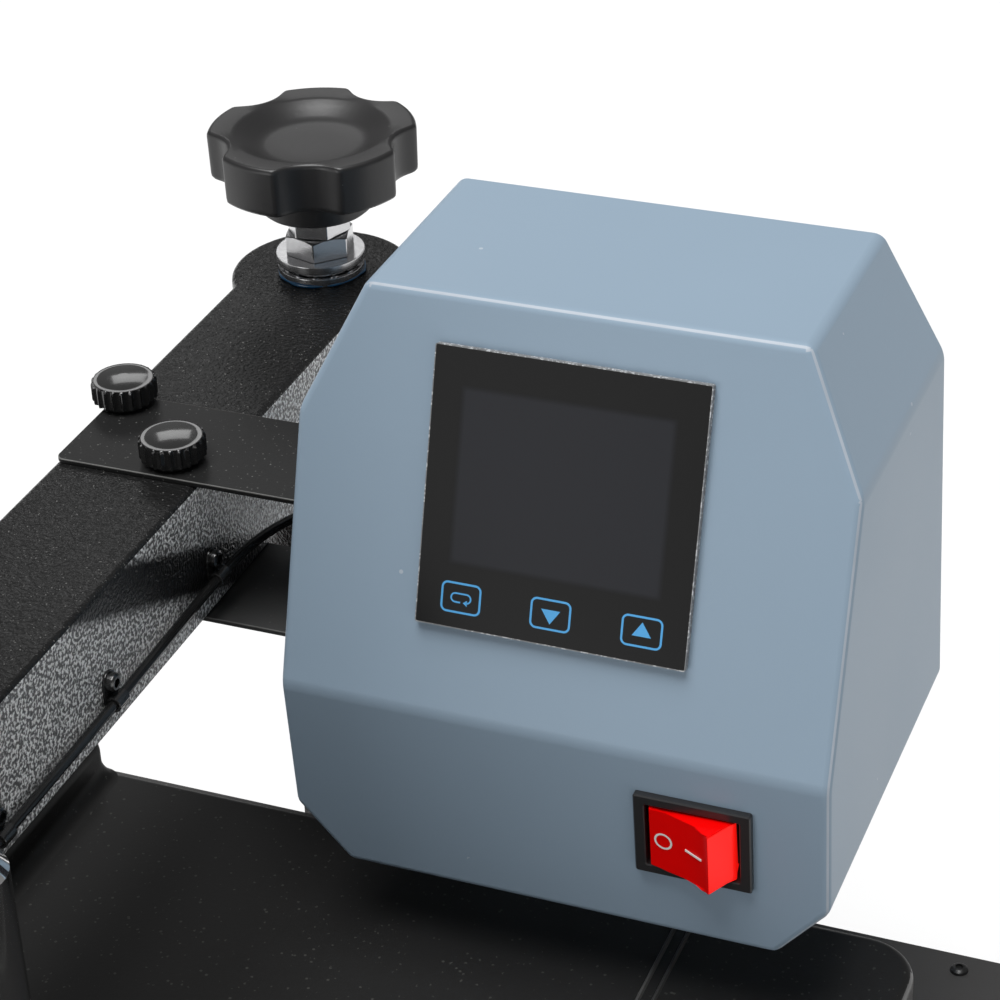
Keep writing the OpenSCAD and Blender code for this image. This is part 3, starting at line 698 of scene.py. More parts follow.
ALUMINIUM = Finish(
    "machined_aluminium", "cast_aluminium", (0.42, 0.42, 0.43), roughness=0.36, metallic=1.0, grain_scale=800,
    grain_depth=0.08, drift=0.08,
)
ELEMENT = Finish("element_sheath", "element_steel", (0.2, 0.19, 0.19), roughness=0.5, metallic=1.0)
MINERAL = Finish("mineral_fibre", "mineral_board", (0.6, 0.56, 0.47), roughness=0.95, grain_depth=0.5)
SILICONE = Finish(
    "silicone_foam_sheet", "silicone_foam", (0.42, 0.09, 0.035), roughness=0.75, grain_scale=1500,
    grain_depth=0.3, drift=0.1,
)
FOOT_RUBBER = Finish("foot_rubber_black", "foot_rubber", (0.02, 0.02, 0.02), roughness=0.75, grain_depth=0.2)
GRIP_RUBBER = Finish("grip_foam_black", "grip_rubber", (0.02, 0.02, 0.02), roughness=0.68, grain_depth=0.35)
KNOB = Finish(
    "phenolic_black", "knob_plastic", (0.017, 0.0165, 0.017), roughness=0.36, coat=0.0, coat_roughness=0.3,
    grain_scale=700, grain_depth=0.1, drift=0.15, specks=0.06, speck_scale=230,
    speck_colour=(0.09, 0.09, 0.09),
)
GLOSS_BLACK = Finish(
    "gloss_black_heads", "knob_plastic", (0.012, 0.012, 0.012), roughness=0.14, coat=0.6, coat_roughness=0.06,
    grain_depth=0.03, drift=0.1,
)
NYLON = Finish("black_nylon", "black_plastic", (0.02, 0.02, 0.02), roughness=0.45, grain_depth=0.08)
BEZEL = Finish(
    "bezel_black", "black_plastic", (0.02, 0.02, 0.021), roughness=0.32, grain_depth=0.05, specks=0.05,
    speck_scale=300, speck_colour=(0.12, 0.12, 0.12),
)
PANEL_GLASS = Finish(
    "panel_gloss_black", "display_panel", (0.006, 0.006, 0.006), roughness=0.2, coat=0.0, coat_roughness=0.08,
    grain_depth=0.01, drift=0.05, specks=0.04, speck_scale=240, speck_colour=(0.05, 0.05, 0.05), specular=0.1,
)
SCREEN = Finish(
    "unlit_screen", "display_panel", (0.019, 0.02, 0.024), roughness=0.26, coat=0.0, coat_roughness=0.1,
    grain_depth=0.01, drift=0.12, drift_scale=30, specular=0.1,
)
def screen_finish(share: float) -> Finish:
    """Return the finish of one step of the unlit screen's soft border.

    Args:
        share: How far the step has gone from the glass to the screen, 1 for the screen itself.

    Returns:
        The step's finish.
    """
    mixed = tuple(g + (c - g) * share for g, c in zip(PANEL_GLASS.colour, SCREEN.colour))
    return replace(SCREEN, name=f"{SCREEN.name}_{round(share * 100)}", colour=mixed)


# blue key print with a faint painted glow from its emission, on an unlit display
KEY_BLUE_PRINT_GLOW = Finish("key_outline_blue", "display_panel", (0.06, 0.32, 0.64), roughness=0.45, emission=0.12)
CHIPPED_EDGE = Finish(
    "chipped_panel_edge", "display_panel", (0.2, 0.205, 0.21), roughness=0.6, grain_scale=2200,
    grain_depth=0.3, drift=0.5, drift_scale=300, specks=0.6, speck_scale=1100,
    speck_colour=(0.55, 0.56, 0.57),
)
RED = Finish(
    "rocker_red", "red_plastic", (0.8, 0.0008, 0.0008), roughness=0.16, coat=0.0, coat_roughness=0.08,
    grain_depth=0.02, drift=0.12, drift_scale=60, emission=0.0, specular=0.12,
)
# the rocker's right end face: brighter red with emission, a painted highlight and painted glow
RED_GLOW = Finish(
    "rocker_red_end", "red_plastic", (0.96, 0.008, 0.005), roughness=0.2, specular=0.15, grain_depth=0.02,
    drift=0.08, drift_scale=80, emission=0.62,
)
WHITE_MARK = Finish("white_mark", "red_plastic", (0.8, 0.78, 0.76), roughness=0.5, drift=0.03)
IVORY = Finish("ivory_nylon", "ivory_plastic", (0.6, 0.56, 0.45), roughness=0.5)
SHEATH = Finish(
    "lead_sheath_black", "lead_sheath", (0.014, 0.014, 0.014), roughness=0.13, grain_scale=500,
    grain_depth=0.12, drift=0.2,
)
GREASE = Finish(
    "blue_grease", "zinc_steel", (0.008, 0.085, 0.2), roughness=0.22, coat=0.5, grain_scale=260,
    grain_depth=0.6, grain_distance=0.0005, drift=0.5, drift_scale=120,
)

BY_SLOT = {
    finish.slot: finish
    for finish in (
        FRAME_PAINT, ARM_PAINT, BRACKET_PAINT, COVER_PAINT, SCREW_BLACK, BOX_PAINT, ZINC, CHROME, BRONZE, ALUMINIUM,
        ELEMENT, MINERAL, SILICONE, FOOT_RUBBER, GRIP_RUBBER, KNOB, NYLON, PANEL_GLASS, RED, IVORY, SHEATH,
    )
}


# ---------------------------------------------------------------- sub-assemblies


@dataclass
class SubAssembly:
    """A group of pieces that is built and dressed together."""

    made: list[bpy.types.Object] = field(default_factory=list)

    def keep(self, made: bpy.types.Object, body: str, slot: str, *nodes: str) -> bpy.types.Object:
        """Ride a piece on its body and hide the CAD nodes that it stands for.

        Args:
            made: The finished piece.
            body: The CAD body that carries it.
            slot: The record's material slot; not used.
            nodes: CAD nodes that it replaces.

        Returns:
            The same piece.
        """
        if nodes:
            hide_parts(*nodes)
        crisp(made)
        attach(made, body)
        self.made.append(made)
        log.info("%s rides on %s", made.name, body)
        return made


@dataclass
class ControlBox(SubAssembly):
    """The folded sheet metal box with its sloping front."""

    switch_spot: tuple[float, float] = (38.8 * MM, -24 * MM)
    display_spot: tuple[float, float] = (-0.85 * MM, 60.45 * MM)
    fold_height: float = 57.6 * MM
    half_width: float = 74 * MM
    top_half: float = 57.7 * MM
    bottom_half: float = 59.8 * MM
    upper_lean: float = 0.33
    lower_lean: float = 0.07
    back_lean: float = 0.1272
    depth: float = 110.35 * MM
    shoulder: float = 69.6 * MM
    hip: float = -40.4 * MM
    wall: float = 1.5 * MM
    edge_round: float = 2.2 * MM
    fold_round: float = 2.0 * MM

    def __post_init__(self) -> None:
        """Find the fold line from the CAD shell's box."""
        low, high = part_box("control_box_shell")
        self.origin = Vector(((low.x + high.x) / 2, low.y, low.z + self.fold_height))
        self.top = high.z - self.origin.z

    def upper_panel(self) -> Panel:
        """Return the sloping panel above the fold."""
        up = Vector((0, self.upper_lean, 1)).normalized()
        return Panel(self.origin, Vector((1, 0, 0)), up)

    def lower_panel(self) -> Panel:
        """Return the panel below the fold."""
        up = Vector((0, -self.lower_lean, 1)).normalized()
        return Panel(self.origin, Vector((1, 0, 0)), up)

    def outline(self) -> Outline:
        """Return the box's outline seen from the front."""
        right = [
            (self.bottom_half, -self.fold_height),
            (self.half_width, self.hip),
            (self.half_width, self.shoulder),
            (self.top_half, self.top),
        ]
        return right + [(-x, z) for x, z in reversed(right)]

    def skin(self) -> bmesh.types.BMesh:
        """Return the folded skin with an open back, in the row frame."""
        bm = bmesh.new()
        far = 0.2
        front = [bm.verts.new((x, -far, z)) for x, z in self.outline()]
        face = bm.faces.new(front)
        grown = bmesh.ops.extrude_face_region(bm, geom=[face])
        moved = [v for v in grown["geom"] if isinstance(v, bmesh.types.BMVert)]
        bmesh.ops.translate(bm, vec=(0, 2 * far, 0), verts=moved)
        planes = [
            ((0, 0, 0), (0, -1, self.upper_lean)),
            ((0, 0, 0), (0, -1, -self.lower_lean)),
            ((0, self.depth, 0), (0, 1, self.back_lean)),
        ]
        for point, normal in planes:
            whole = bm.verts[:] + bm.edges[:] + bm.faces[:]
            sliced = bmesh.ops.bisect_plane(
                bm, geom=whole, dist=1e-7, plane_co=point, plane_no=normal, clear_outer=True
            )
            rim = [e for e in sliced["geom_cut"] if isinstance(e, bmesh.types.BMEdge)]
            bmesh.ops.contextual_create(bm, geom=rim)
        bmesh.ops.recalc_face_normals(bm, faces=bm.faces)
        fold = [e for e in bm.edges if all(abs(v.co.z) < 1e-5 and abs(v.co.y) < 1e-5 for v in e.verts)]
        bmesh.ops.bevel(
            bm, geom=fold, offset=self.fold_round, segments=5, profile=0.5, affect="EDGES", material=-1
        )
        back = [f for f in bm.faces if f.normal.y > 0.9]
        rim_edges = {e for f in back for e in f.edges}
        round_edges(bm, self.edge_round, 5, 15, lambda e: e not in rim_edges and self.is_corner(e))
        bmesh.ops.delete(bm, geom=[f for f in bm.faces if f.normal.y > 0.9], context="FACES_ONLY")
        bmesh.ops.translate(bm, vec=self.origin, verts=bm.verts)
        return bm

    def is_corner(self, edge: bmesh.types.BMEdge) -> bool:
        """Tell a corner of the folding from the flats of the soft front fold."""
        reach = 1.6 * self.fold_round
        inner = self.half_width - MM
        return not all(abs(v.co.z) < reach and abs(v.co.x) < inner for v in edge.verts)

    def is_highlit_edge(self, face: bpy.types.MeshPolygon) -> bool:
        """Tell the rounded edges at the front's right and top that get a painted highlight, partly rubbed paint at
        the right corner.
        """
        turned_right = 0.5 < face.normal.x < 0.86 and face.normal.y < -0.45
        turned_up = 0.66 < face.normal.z < 0.84 and face.normal.y < -0.5
        return turned_right or turned_up

    def build(self) -> None:
        """Build the shell and cut its switch and display openings."""
        shell = piece("control_box", self.skin(), BOX_PAINT)
        wall = shell.modifiers.new("wall", "SOLIDIFY")
        wall.thickness = self.wall
        wall.offset = -1
        bake_modifiers(shell)
        switch = Matrix.Translation((*self.switch_spot, 0))
        window = Matrix.Translation((*self.display_spot, 0))
        holes = []
        for panel, place, width, height in (
            (self.lower_panel(), switch, 27.2 * MM, 22.2 * MM),
            (self.upper_panel(), window, 68 * MM, 68 * MM),
        ):
            hole = slab(width, height, 14 * MM)
            hole.transform(panel.matrix() @ place)
            holes.append(hole)
        cut(shell, holes)
        # painted highlight on the front's rounded right and top edges
        repaint(shell, CORNER_HIGHLIGHT, self.is_highlit_edge)
        self.keep(shell, "arm", "blue_grey_paint", "control_box_shell")


@dataclass
class DisplayPanel(SubAssembly):
    """The square touch display with its three key outlines."""

    box: ControlBox = field(default_factory=ControlBox)
    side: float = 72 * MM
    proud: float = 2 * MM
    screen: tuple[float, float] = (54 * MM, 43.5 * MM)
    screen_lift: float = 3.5 * MM
    screen_fades: tuple[float, ...] = (2.4 * MM, 1.6 * MM, 0.8 * MM, 0)
    key_pitch: float = 24.0 * MM
    key_drop: float = -27.9 * MM
    key_size: tuple[float, float] = (10.8 * MM, 8.1 * MM)
    line: float = 0.54 * MM

    def place(self, x: float = 0, y: float = 0) -> Matrix:
        """Return the matrix from a spot on the glass to the row frame."""
        across, up = self.box.display_spot
        spot = Vector((across + x, up + y, self.proud))
        return self.box.upper_panel().matrix() @ Matrix.Translation(spot)

    def pane(self, width: float, height: float, radius: float, low: float, high: float) -> bmesh.types.BMesh:
        """Return a thin plate with round corners between two depths of the glass."""
        outline = rounded_rectangle(width, height, radius)
        return loft([(outline, low), (outline, high)])

    def band(
        self, width: float, height: float, radius: float, line: float, low: float, high: float
    ) -> bmesh.types.BMesh:
        """Return a raised outline with round corners.

        Args:
            width: Outer size across.
            height: Outer size upward.
            radius: Outer corner radius.
            line: Thickness of the line.
            low: Where its underside lies.
            high: Where its face lies.

        Returns:
            The outline about its own middle.
        """
        bm = bmesh.new()
        edges = add_loop(bm, rounded_rectangle(width, height, radius), low)
        bmesh.ops.contextual_create(bm, geom=edges)
        whole = bm.faces[:]
        bmesh.ops.inset_region(bm, faces=whole, thickness=line, use_even_offset=True, use_boundary=True)
        bmesh.ops.delete(bm, geom=whole, context="FACES")
        grown = bmesh.ops.extrude_face_region(bm, geom=bm.faces[:], use_keep_orig=True)
        moved = [v for v in grown["geom"] if isinstance(v, bmesh.types.BMVert)]
        bmesh.ops.translate(bm, vec=(0, 0, high - low), verts=moved)
        bmesh.ops.recalc_face_normals(bm, faces=bm.faces)
        return bm

    def loop_mark(self) -> bmesh.types.BMesh:
        """Return the open loop with a small arrow tip, the first key's mark."""
        line = 0.42 * MM
        radius = 1.15 * MM
        reach = 1.5 * MM
        bm = bmesh.new()
        turns = [(reach, 90, -90), (-reach, 270, 90)]
        path = []
        for x, start, end in turns:
            for step in range(9):
                angle = math.radians(start + (end - start) * step / 8)
                path.append(Vector((x + radius * math.cos(angle), radius * math.sin(angle), 0)))
        path.append(Vector((-0.1 * MM, radius, 0)))
        strip = []
        for index, point in enumerate(path):
            ahead = path[min(index + 1, len(path) - 1)] - path[max(index - 1, 0)]
            side = Vector((-ahead.y, ahead.x, 0)).normalized() * line / 2
            strip.append((bm.verts.new(point - side), bm.verts.new(point + side)))
        for (a, b), (c, d) in zip(strip, strip[1:]):
            bm.faces.new((a, c, d, b))
        barb = ((0.2, 0.8), (0.2, -0.8), (-0.9, 0))
        bm.faces.new([bm.verts.new((reach + x * MM, radius + y * MM, 0)) for x, y in barb])
        bmesh.ops.scale(bm, vec=(1, -1, 1), verts=bm.verts)
        self.thicken(bm)
        return bm

    def arrow_mark(self, heading: Heading) -> bmesh.types.BMesh:
        """Return a filled triangle that points up or down."""
        bm = bmesh.new()
        bmesh.ops.create_circle(bm, cap_ends=True, segments=3, radius=2.6 * MM)
        bmesh.ops.scale(bm, vec=(1.12, 0.95, 1), verts=bm.verts)
        bmesh.ops.rotate(bm, cent=(0, 0, 0), matrix=Matrix.Rotation(heading.value, 3, "Z"), verts=bm.verts)
        self.thicken(bm)
        return bm

    def thicken(self, bm: bmesh.types.BMesh) -> None:
        """Give a flat mark the thickness of print."""
        grown = bmesh.ops.extrude_face_region(bm, geom=bm.faces[:])
        moved = [v for v in grown["geom"] if isinstance(v, bmesh.types.BMVert)]
        bmesh.ops.translate(bm, vec=(0, 0, 0.03 * MM), verts=moved)
        bmesh.ops.translate(bm, vec=(0, 0, 0.005 * MM), verts=bm.verts)
        bmesh.ops.recalc_face_normals(bm, faces=bm.faces)

    def build(self) -> None:
        """Build the glass, its edge, the screen and the keys."""
        glass = self.pane(self.side - 0.5 * MM, self.side - 0.5 * MM, 0.5 * MM, -1.95 * MM, 0)
        panel = piece("display_glass_panel", glass, PANEL_GLASS, self.place())
        self.keep(panel, "arm", "display_panel", "display_glass")
        edge = self.band(self.side, self.side, 0.6 * MM, 0.26 * MM, -1.9 * MM, 0.03 * MM)
        self.keep(piece("display_edge", edge, CHIPPED_EDGE, self.place()), "arm", "display_panel")
        for index, grow in enumerate(self.screen_fades):
            lift = 0.006 * index * MM
            width, height = (side + grow for side in self.screen)
            pane = self.pane(width, height, 0.8 * MM, lift - 0.02 * MM, lift + 0.006 * MM)
            finish = screen_finish((index + 1) / len(self.screen_fades))
            screen = piece(f"display_screen_{index + 1}", pane, finish, self.place(0, self.screen_lift))
            self.keep(screen, "arm", "display_panel")
        marks = [self.loop_mark(), self.arrow_mark(Heading.DOWN), self.arrow_mark(Heading.UP)]
        for index, mark in enumerate(marks):
            spot = self.place((index - 1) * self.key_pitch, self.key_drop)
            frame_line = self.band(*self.key_size, 1.7 * MM, self.line, 0.005 * MM, 0.035 * MM)
            self.keep(piece(f"key_outline_{index + 1}", frame_line, KEY_BLUE_PRINT_GLOW, spot), "arm", "display_panel")
            self.keep(piece(f"key_mark_{index + 1}", mark, KEY_BLUE_PRINT_GLOW, spot), "arm", "display_panel")


@dataclass
class PowerSwitch(SubAssembly):
    """The rocker switch, tilted to off, in its bezel."""

    box: ControlBox = field(default_factory=ControlBox)
    bezel: tuple[float, float] = (31 * MM, 25.5 * MM)
    window: tuple[float, float] = (25 * MM, 20 * MM)
    proud: float = 2 * MM
    pivot_depth: float = 3 * MM
    tilt: float = 14
    mark_proud: float = 0.1 * MM
    rocker_height: float = 19.2 * MM

    def place(self) -> Matrix:
        """Return the matrix from the switch's middle on the lower panel to the row frame."""
        return self.box.lower_panel().matrix() @ Matrix.Translation((*self.box.switch_spot, 0))

    def rocker_outline(self) -> Outline:
        """Return the rocker's section across its pivot: two faces that meet in a shallow valley."""
        face = [(-9.5, 7.9), (-5, 7.3), (0, 7.2), (4, 7.8), (6.8, 8.7), (9.0, 10.0)]
        rest = [(10.9, 3.6), (12.1, 1.2), (9, -4), (3, -8), (-3, -8), (-9, -4), (-12.1, 1.2), (-11.6, 3.6)]
        return [(x * MM, z * MM) for x, z in face + rest]

    def rocker_skin(self) -> bmesh.types.BMesh:
        """Return the rocker about its pivot, with softened edges."""
        half = self.rocker_height / 2
        bm = loft([(self.rocker_outline(), -half), (self.rocker_outline(), half)])
        bm.transform(Matrix.Rotation(math.radians(90), 4, "X"))
        round_edges(bm, 0.45 * MM, 3, 35)
        return bm

    def rocker_place(self) -> Matrix:
        """Return the tilted rocker's place."""
        turn = Matrix.Rotation(math.radians(-self.tilt), 4, "Y")
        return self.place() @ Matrix.Translation((0, 0, -self.pivot_depth)) @ turn

    def mark_place(self, x: float, length: float) -> Matrix:
        """Return the place of a flat mark that lies on the rocker's curved face.

        Args:
            x: Where the mark's middle is, across the pivot.
            length: The mark's length, over which the face's slope is taken.

        Returns:
            The mark's matrix.
        """
        face = sorted(p for p in self.rocker_outline() if p[1] > 5 * MM)
        ends = []
        for end in (x - length / 2, x + length / 2):
            near = next(i for i in range(1, len(face)) if face[i][0] >= end or i == len(face) - 1)
            (x0, z0), (x1, z1) = face[near - 1], face[near]
            ends.append(z0 + (z1 - z0) * (end - x0) / (x1 - x0))
        slope = math.atan((ends[1] - ends[0]) / length)
        lift = Matrix.Translation((x, 0, sum(ends) / 2 + self.mark_proud))
        return self.rocker_place() @ lift @ Matrix.Rotation(-slope, 4, "Y")

    def build(self) -> None:
        """Build the bezel, the rocker and its two marks."""
        outer = rounded_rectangle(*self.bezel, 0.7 * MM)
        shoulder = rounded_rectangle(self.bezel[0] - 0.7 * MM, self.bezel[1] - 0.7 * MM, 0.5 * MM)
        inner = rounded_rectangle(*self.window, 0.5 * MM)
        lip = rounded_rectangle(self.window[0] + 0.5 * MM, self.window[1] + 0.5 * MM, 0.7 * MM)
        body = rounded_rectangle(26.8 * MM, 21.8 * MM, 0.9 * MM)
        rings = [
            (inner, -18 * MM), (inner, self.proud - 0.25 * MM), (lip, self.proud), (shoulder, self.proud),
            (outer, self.proud - 0.35 * MM), (outer, 0.05 * MM), (body, 0.05 * MM), (body, -19.8 * MM),
            (inner, -19.8 * MM), (inner, -18 * MM),
        ]
        skin = loft(rings, closed=False)
        bmesh.ops.remove_doubles(skin, verts=skin.verts, dist=1e-7)
        bmesh.ops.recalc_face_normals(skin, faces=skin.faces)
        self.keep(piece("switch_frame", skin, BEZEL, self.place()), "arm", "black_plastic", "switch_bezel")
        rocker = piece("switch_rocker", self.rocker_skin(), RED, self.rocker_place())
        side = self.place().to_3x3() @ Vector((1, 0, 0))
        # painted highlight and painted glow on the rocker's right end face
        repaint(rocker, RED_GLOW, lambda f: f.normal.dot(side) > 0.7)
        self.keep(rocker, "rocker", "red_plastic", "rocker")
        inside, outside, thick = 2.0 * MM, 2.55 * MM, 0.05 * MM
        ring = turned([(inside, 0), (outside, 0), (outside, thick), (inside, thick), (inside, 0)], 32)
        off_mark = piece("rocker_mark_off", ring, WHITE_MARK, self.mark_place(-5.6 * MM, 4 * MM))
        self.keep(off_mark, "rocker", "red_plastic")
        bar = slab(5.6 * MM, 0.6 * MM, 0.2 * MM)
        on_mark = piece("rocker_mark_on", bar, WHITE_MARK, self.mark_place(3.6 * MM, 5.6 * MM))
        self.keep(on_mark, "rocker", "red_plastic")


@dataclass
class Arm(SubAssembly):
    """The square-tube arm with its round end, and the plates that carry the box."""

    half_width: float = 21.1 * MM
    edge_round: float = 1.8 * MM
    lobe: float = 27.4 * MM
    bore: float = 21.5 * MM
    screw_hole: float = 6.6 * MM
    ram_hole: float = 19 * MM
    roof: float = 8 * MM
    lower_reach: float = 2.5 * MM

    def outline(self, front: float, post: Vector) -> Outline:
        """Return the arm's outline from above, straight sides running into the round end."""
        reach = math.acos(self.half_width / self.lobe)
        points = [(-self.half_width, front), (self.half_width, front)]
        steps = 40
        for step in range(steps + 1):
            angle = -reach + (math.pi + 2 * reach) * step / steps
            points.append((post.x + self.lobe * math.cos(angle), post.y + self.lobe * math.sin(angle)))
        return points

    def build_beam(self) -> None:
        """Build the arm and the sleeve round the post as one skin."""
        low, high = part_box("arm_beam")
        post = middle("post_sleeve")
        outline = self.outline(low.y, post)
        bm = loft([(outline, low.z), (outline, high.z)])
        round_edges(bm, self.edge_round, 4, 40)
        beam = piece("arm", bm, ARM_PAINT)
        ram = middle("ram")
        top = high.z - self.roof
        cut(beam, [
            post_like(self.bore, low.z - 0.01, top, post),
            post_like(self.screw_hole, low.z - 0.01, high.z + 0.01, post),
            post_like(self.ram_hole, low.z - 0.01, high.z + 0.01, ram),
        ])
        side = self.half_width - 0.1 * MM
        # the +X side faces get the lighter copy of the arm paint: painted sheen, painted glints and a painted shade
        # band
        repaint(beam, ARM_SIDE_SHEEN_PAINT, lambda f: f.normal.x > 0.8 and f.center.x > side)
        self.keep(beam, "arm", "textured_black_paint", "arm_beam")
        sleeve_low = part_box("post_sleeve")[0].z
        rim = 1 * MM
        wall = [
            (self.bore, low.z - 0.05 * MM), (self.bore, sleeve_low + rim), (self.bore + rim, sleeve_low),
            (self.lobe - rim, sleeve_low), (self.lobe, sleeve_low + rim), (self.lobe, low.z - 0.05 * MM),
            (self.bore, low.z - 0.05 * MM),
        ]
        tube = turned(wall)
        place = Matrix.Translation((post.x, post.y, 0))
        sleeve = piece("post_sleeve_tube", tube, ARM_PAINT, place)
        self.keep(sleeve, "arm", "textured_black_paint", "post_sleeve")

    def build_plate(self, node: str, name: str, tab_up: bool) -> None:
        """Build one folded bracket plate.

        Args:
            node: The CAD plate that it stands for.
            name: The piece's name.
            tab_up: Whether the tab at the box's wall turns up.
        """
        low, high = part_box(node)
        high.y += self.lower_reach if tab_up else 0
        thick = 1.5 * MM
        radius = 2.6 * MM
        points: Outline = [(low.x, high.y), (low.x, low.y + radius)]
        for step in range(1, 9):
            angle = math.radians(180 + 90 * step / 8)
            across, back = radius * (1 + math.cos(angle)), radius * (1 + math.sin(angle))
            points.append((low.x + across, low.y + back))
        points += [(high.x - thick, low.y), (high.x - thick, high.y)]
        level = low.z if tab_up else high.z - thick
        bm = loft([(points, level), (points, level + thick)])
        bm.faces.ensure_lookup_table()
        fold = [f for f in bm.faces if f.normal.x > 0.9]
        grown = bmesh.ops.extrude_face_region(bm, geom=fold)
        moved = [v for v in grown["geom"] if isinstance(v, bmesh.types.BMVert)]
        bmesh.ops.translate(bm, vec=(thick, 0, 0), verts=moved)
        bmesh.ops.delete(bm, geom=fold, context="FACES_ONLY")
        tab = [
            f for f in bm.faces
            if abs(f.normal.z) > 0.9
            and f.calc_center_median().x > high.x - thick
            and (f.normal.z > 0) == tab_up
        ]
        grown = bmesh.ops.extrude_face_region(bm, geom=tab)
        moved = [v for v in grown["geom"] if isinstance(v, bmesh.types.BMVert)]
        drop = (high.z - low.z - thick) * (1 if tab_up else -1)
        bmesh.ops.translate(bm, vec=(0, 0, drop), verts=moved)
        bmesh.ops.delete(bm, geom=tab, context="FACES_ONLY")
        bmesh.ops.recalc_face_normals(bm, faces=bm.faces)
        round_edges(bm, 0.28 * MM, 2, 40)
        # the lower plate gets the lighter, painted-light copy of the bracket paint
        plate = piece(name, bm, LOWER_BRACKET_PAINTED_LIGHT if tab_up else BRACKET_PAINT)
        # painted highlight: upward-facing rounding faces get the lighter edge colour
        repaint(plate, BRACKET_EDGE_HIGHLIGHT, lambda f: 0.3 < f.normal.z < 0.95)
        self.keep(plate, "arm", "bracket_paint", node)

    def build(self) -> None:
        """Build the beam, its sleeve and the two bracket plates."""
        self.build_beam()
        self.build_plate("bracket_top", "bracket_plate_top", False)
        self.build_plate("bracket_bottom", "bracket_plate_bottom", True)


@dataclass
class ThumbScrews(SubAssembly):
    """The two glossy fluted thumb screws that clamp the bracket."""

    radius: float = 9.15 * MM
    flutes: int = 22
    flute_depth: float = 0.75 * MM
    head_height: float = 6.2 * MM
    crown: float = 0.75 * MM

    def head_outline(self, scale: float, fluted: float = 1) -> Outline:
        """Return the outline with narrow ridges between wide flutes, shrunk towards the axis.

        Args:
            scale: Share of the full radius.
            fluted: Share of the flutes' depth.

        Returns:
            The outline's points.
        """
        steps = self.flutes * 8
        points = []
        for step in range(steps):
            angle = math.tau * step / steps
            ridge = (0.5 + 0.5 * math.cos(self.flutes * angle)) ** 3
            radius = self.radius * scale - self.flute_depth * fluted * (1 - ridge)
            points.append((radius * math.cos(angle), radius * math.sin(angle)))
        return points

    def head(self, washer: float) -> bmesh.types.BMesh:
        """Return a fluted head with a shallow crown, standing on a plate at a height."""
        height = self.head_height
        sections = [
            (self.head_outline(0.93), washer), (self.head_outline(0.985), washer + 0.25 * MM),
            (self.head_outline(1.0), washer + 0.8 * MM), (self.head_outline(1.0), washer + height - 1.1 * MM),
            (self.head_outline(0.985, 0.9), washer + height - 0.5 * MM),
            (self.head_outline(0.955, 0.5), washer + height - 0.12 * MM),
            (self.head_outline(0.92, 0), washer + height),
            (self.head_outline(0.88, 0), washer + height - 0.1 * MM),
        ]
        for step in range(1, 8):
            share = 1 - step / 8
            rise = self.crown * (1 - share ** 2)
            sections.append((self.head_outline(0.86 * share, 0), washer + height - 0.1 * MM + rise))
        return loft(sections)

    def build(self) -> None:
        """Build both heads with their washers and shanks."""
        for node, body in (("thumb_screw_a", "left_thumb_screw"), ("thumb_screw_b", "right_thumb_screw")):
            centre = middle(node)
            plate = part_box("bracket_top")[1].z
            head = self.head(1.3 * MM)
            place = Matrix.Translation((centre.x, centre.y, plate))
            bolt = turned([
                (0, -10 * MM), (2.2 * MM, -10 * MM), (2.5 * MM, -9.6 * MM), (2.5 * MM, 0.2 * MM),
                (6.9 * MM, 0.25 * MM), (7.1 * MM, 0.5 * MM), (7.1 * MM, 1.25 * MM), (0, 1.3 * MM),
            ], 40)
            self.keep(piece(node + "_head", head, GLOSS_BLACK, place), body, "knob_plastic", node)
            self.keep(piece(node + "_shank", bolt, GLOSS_BLACK, place), body, "knob_plastic")


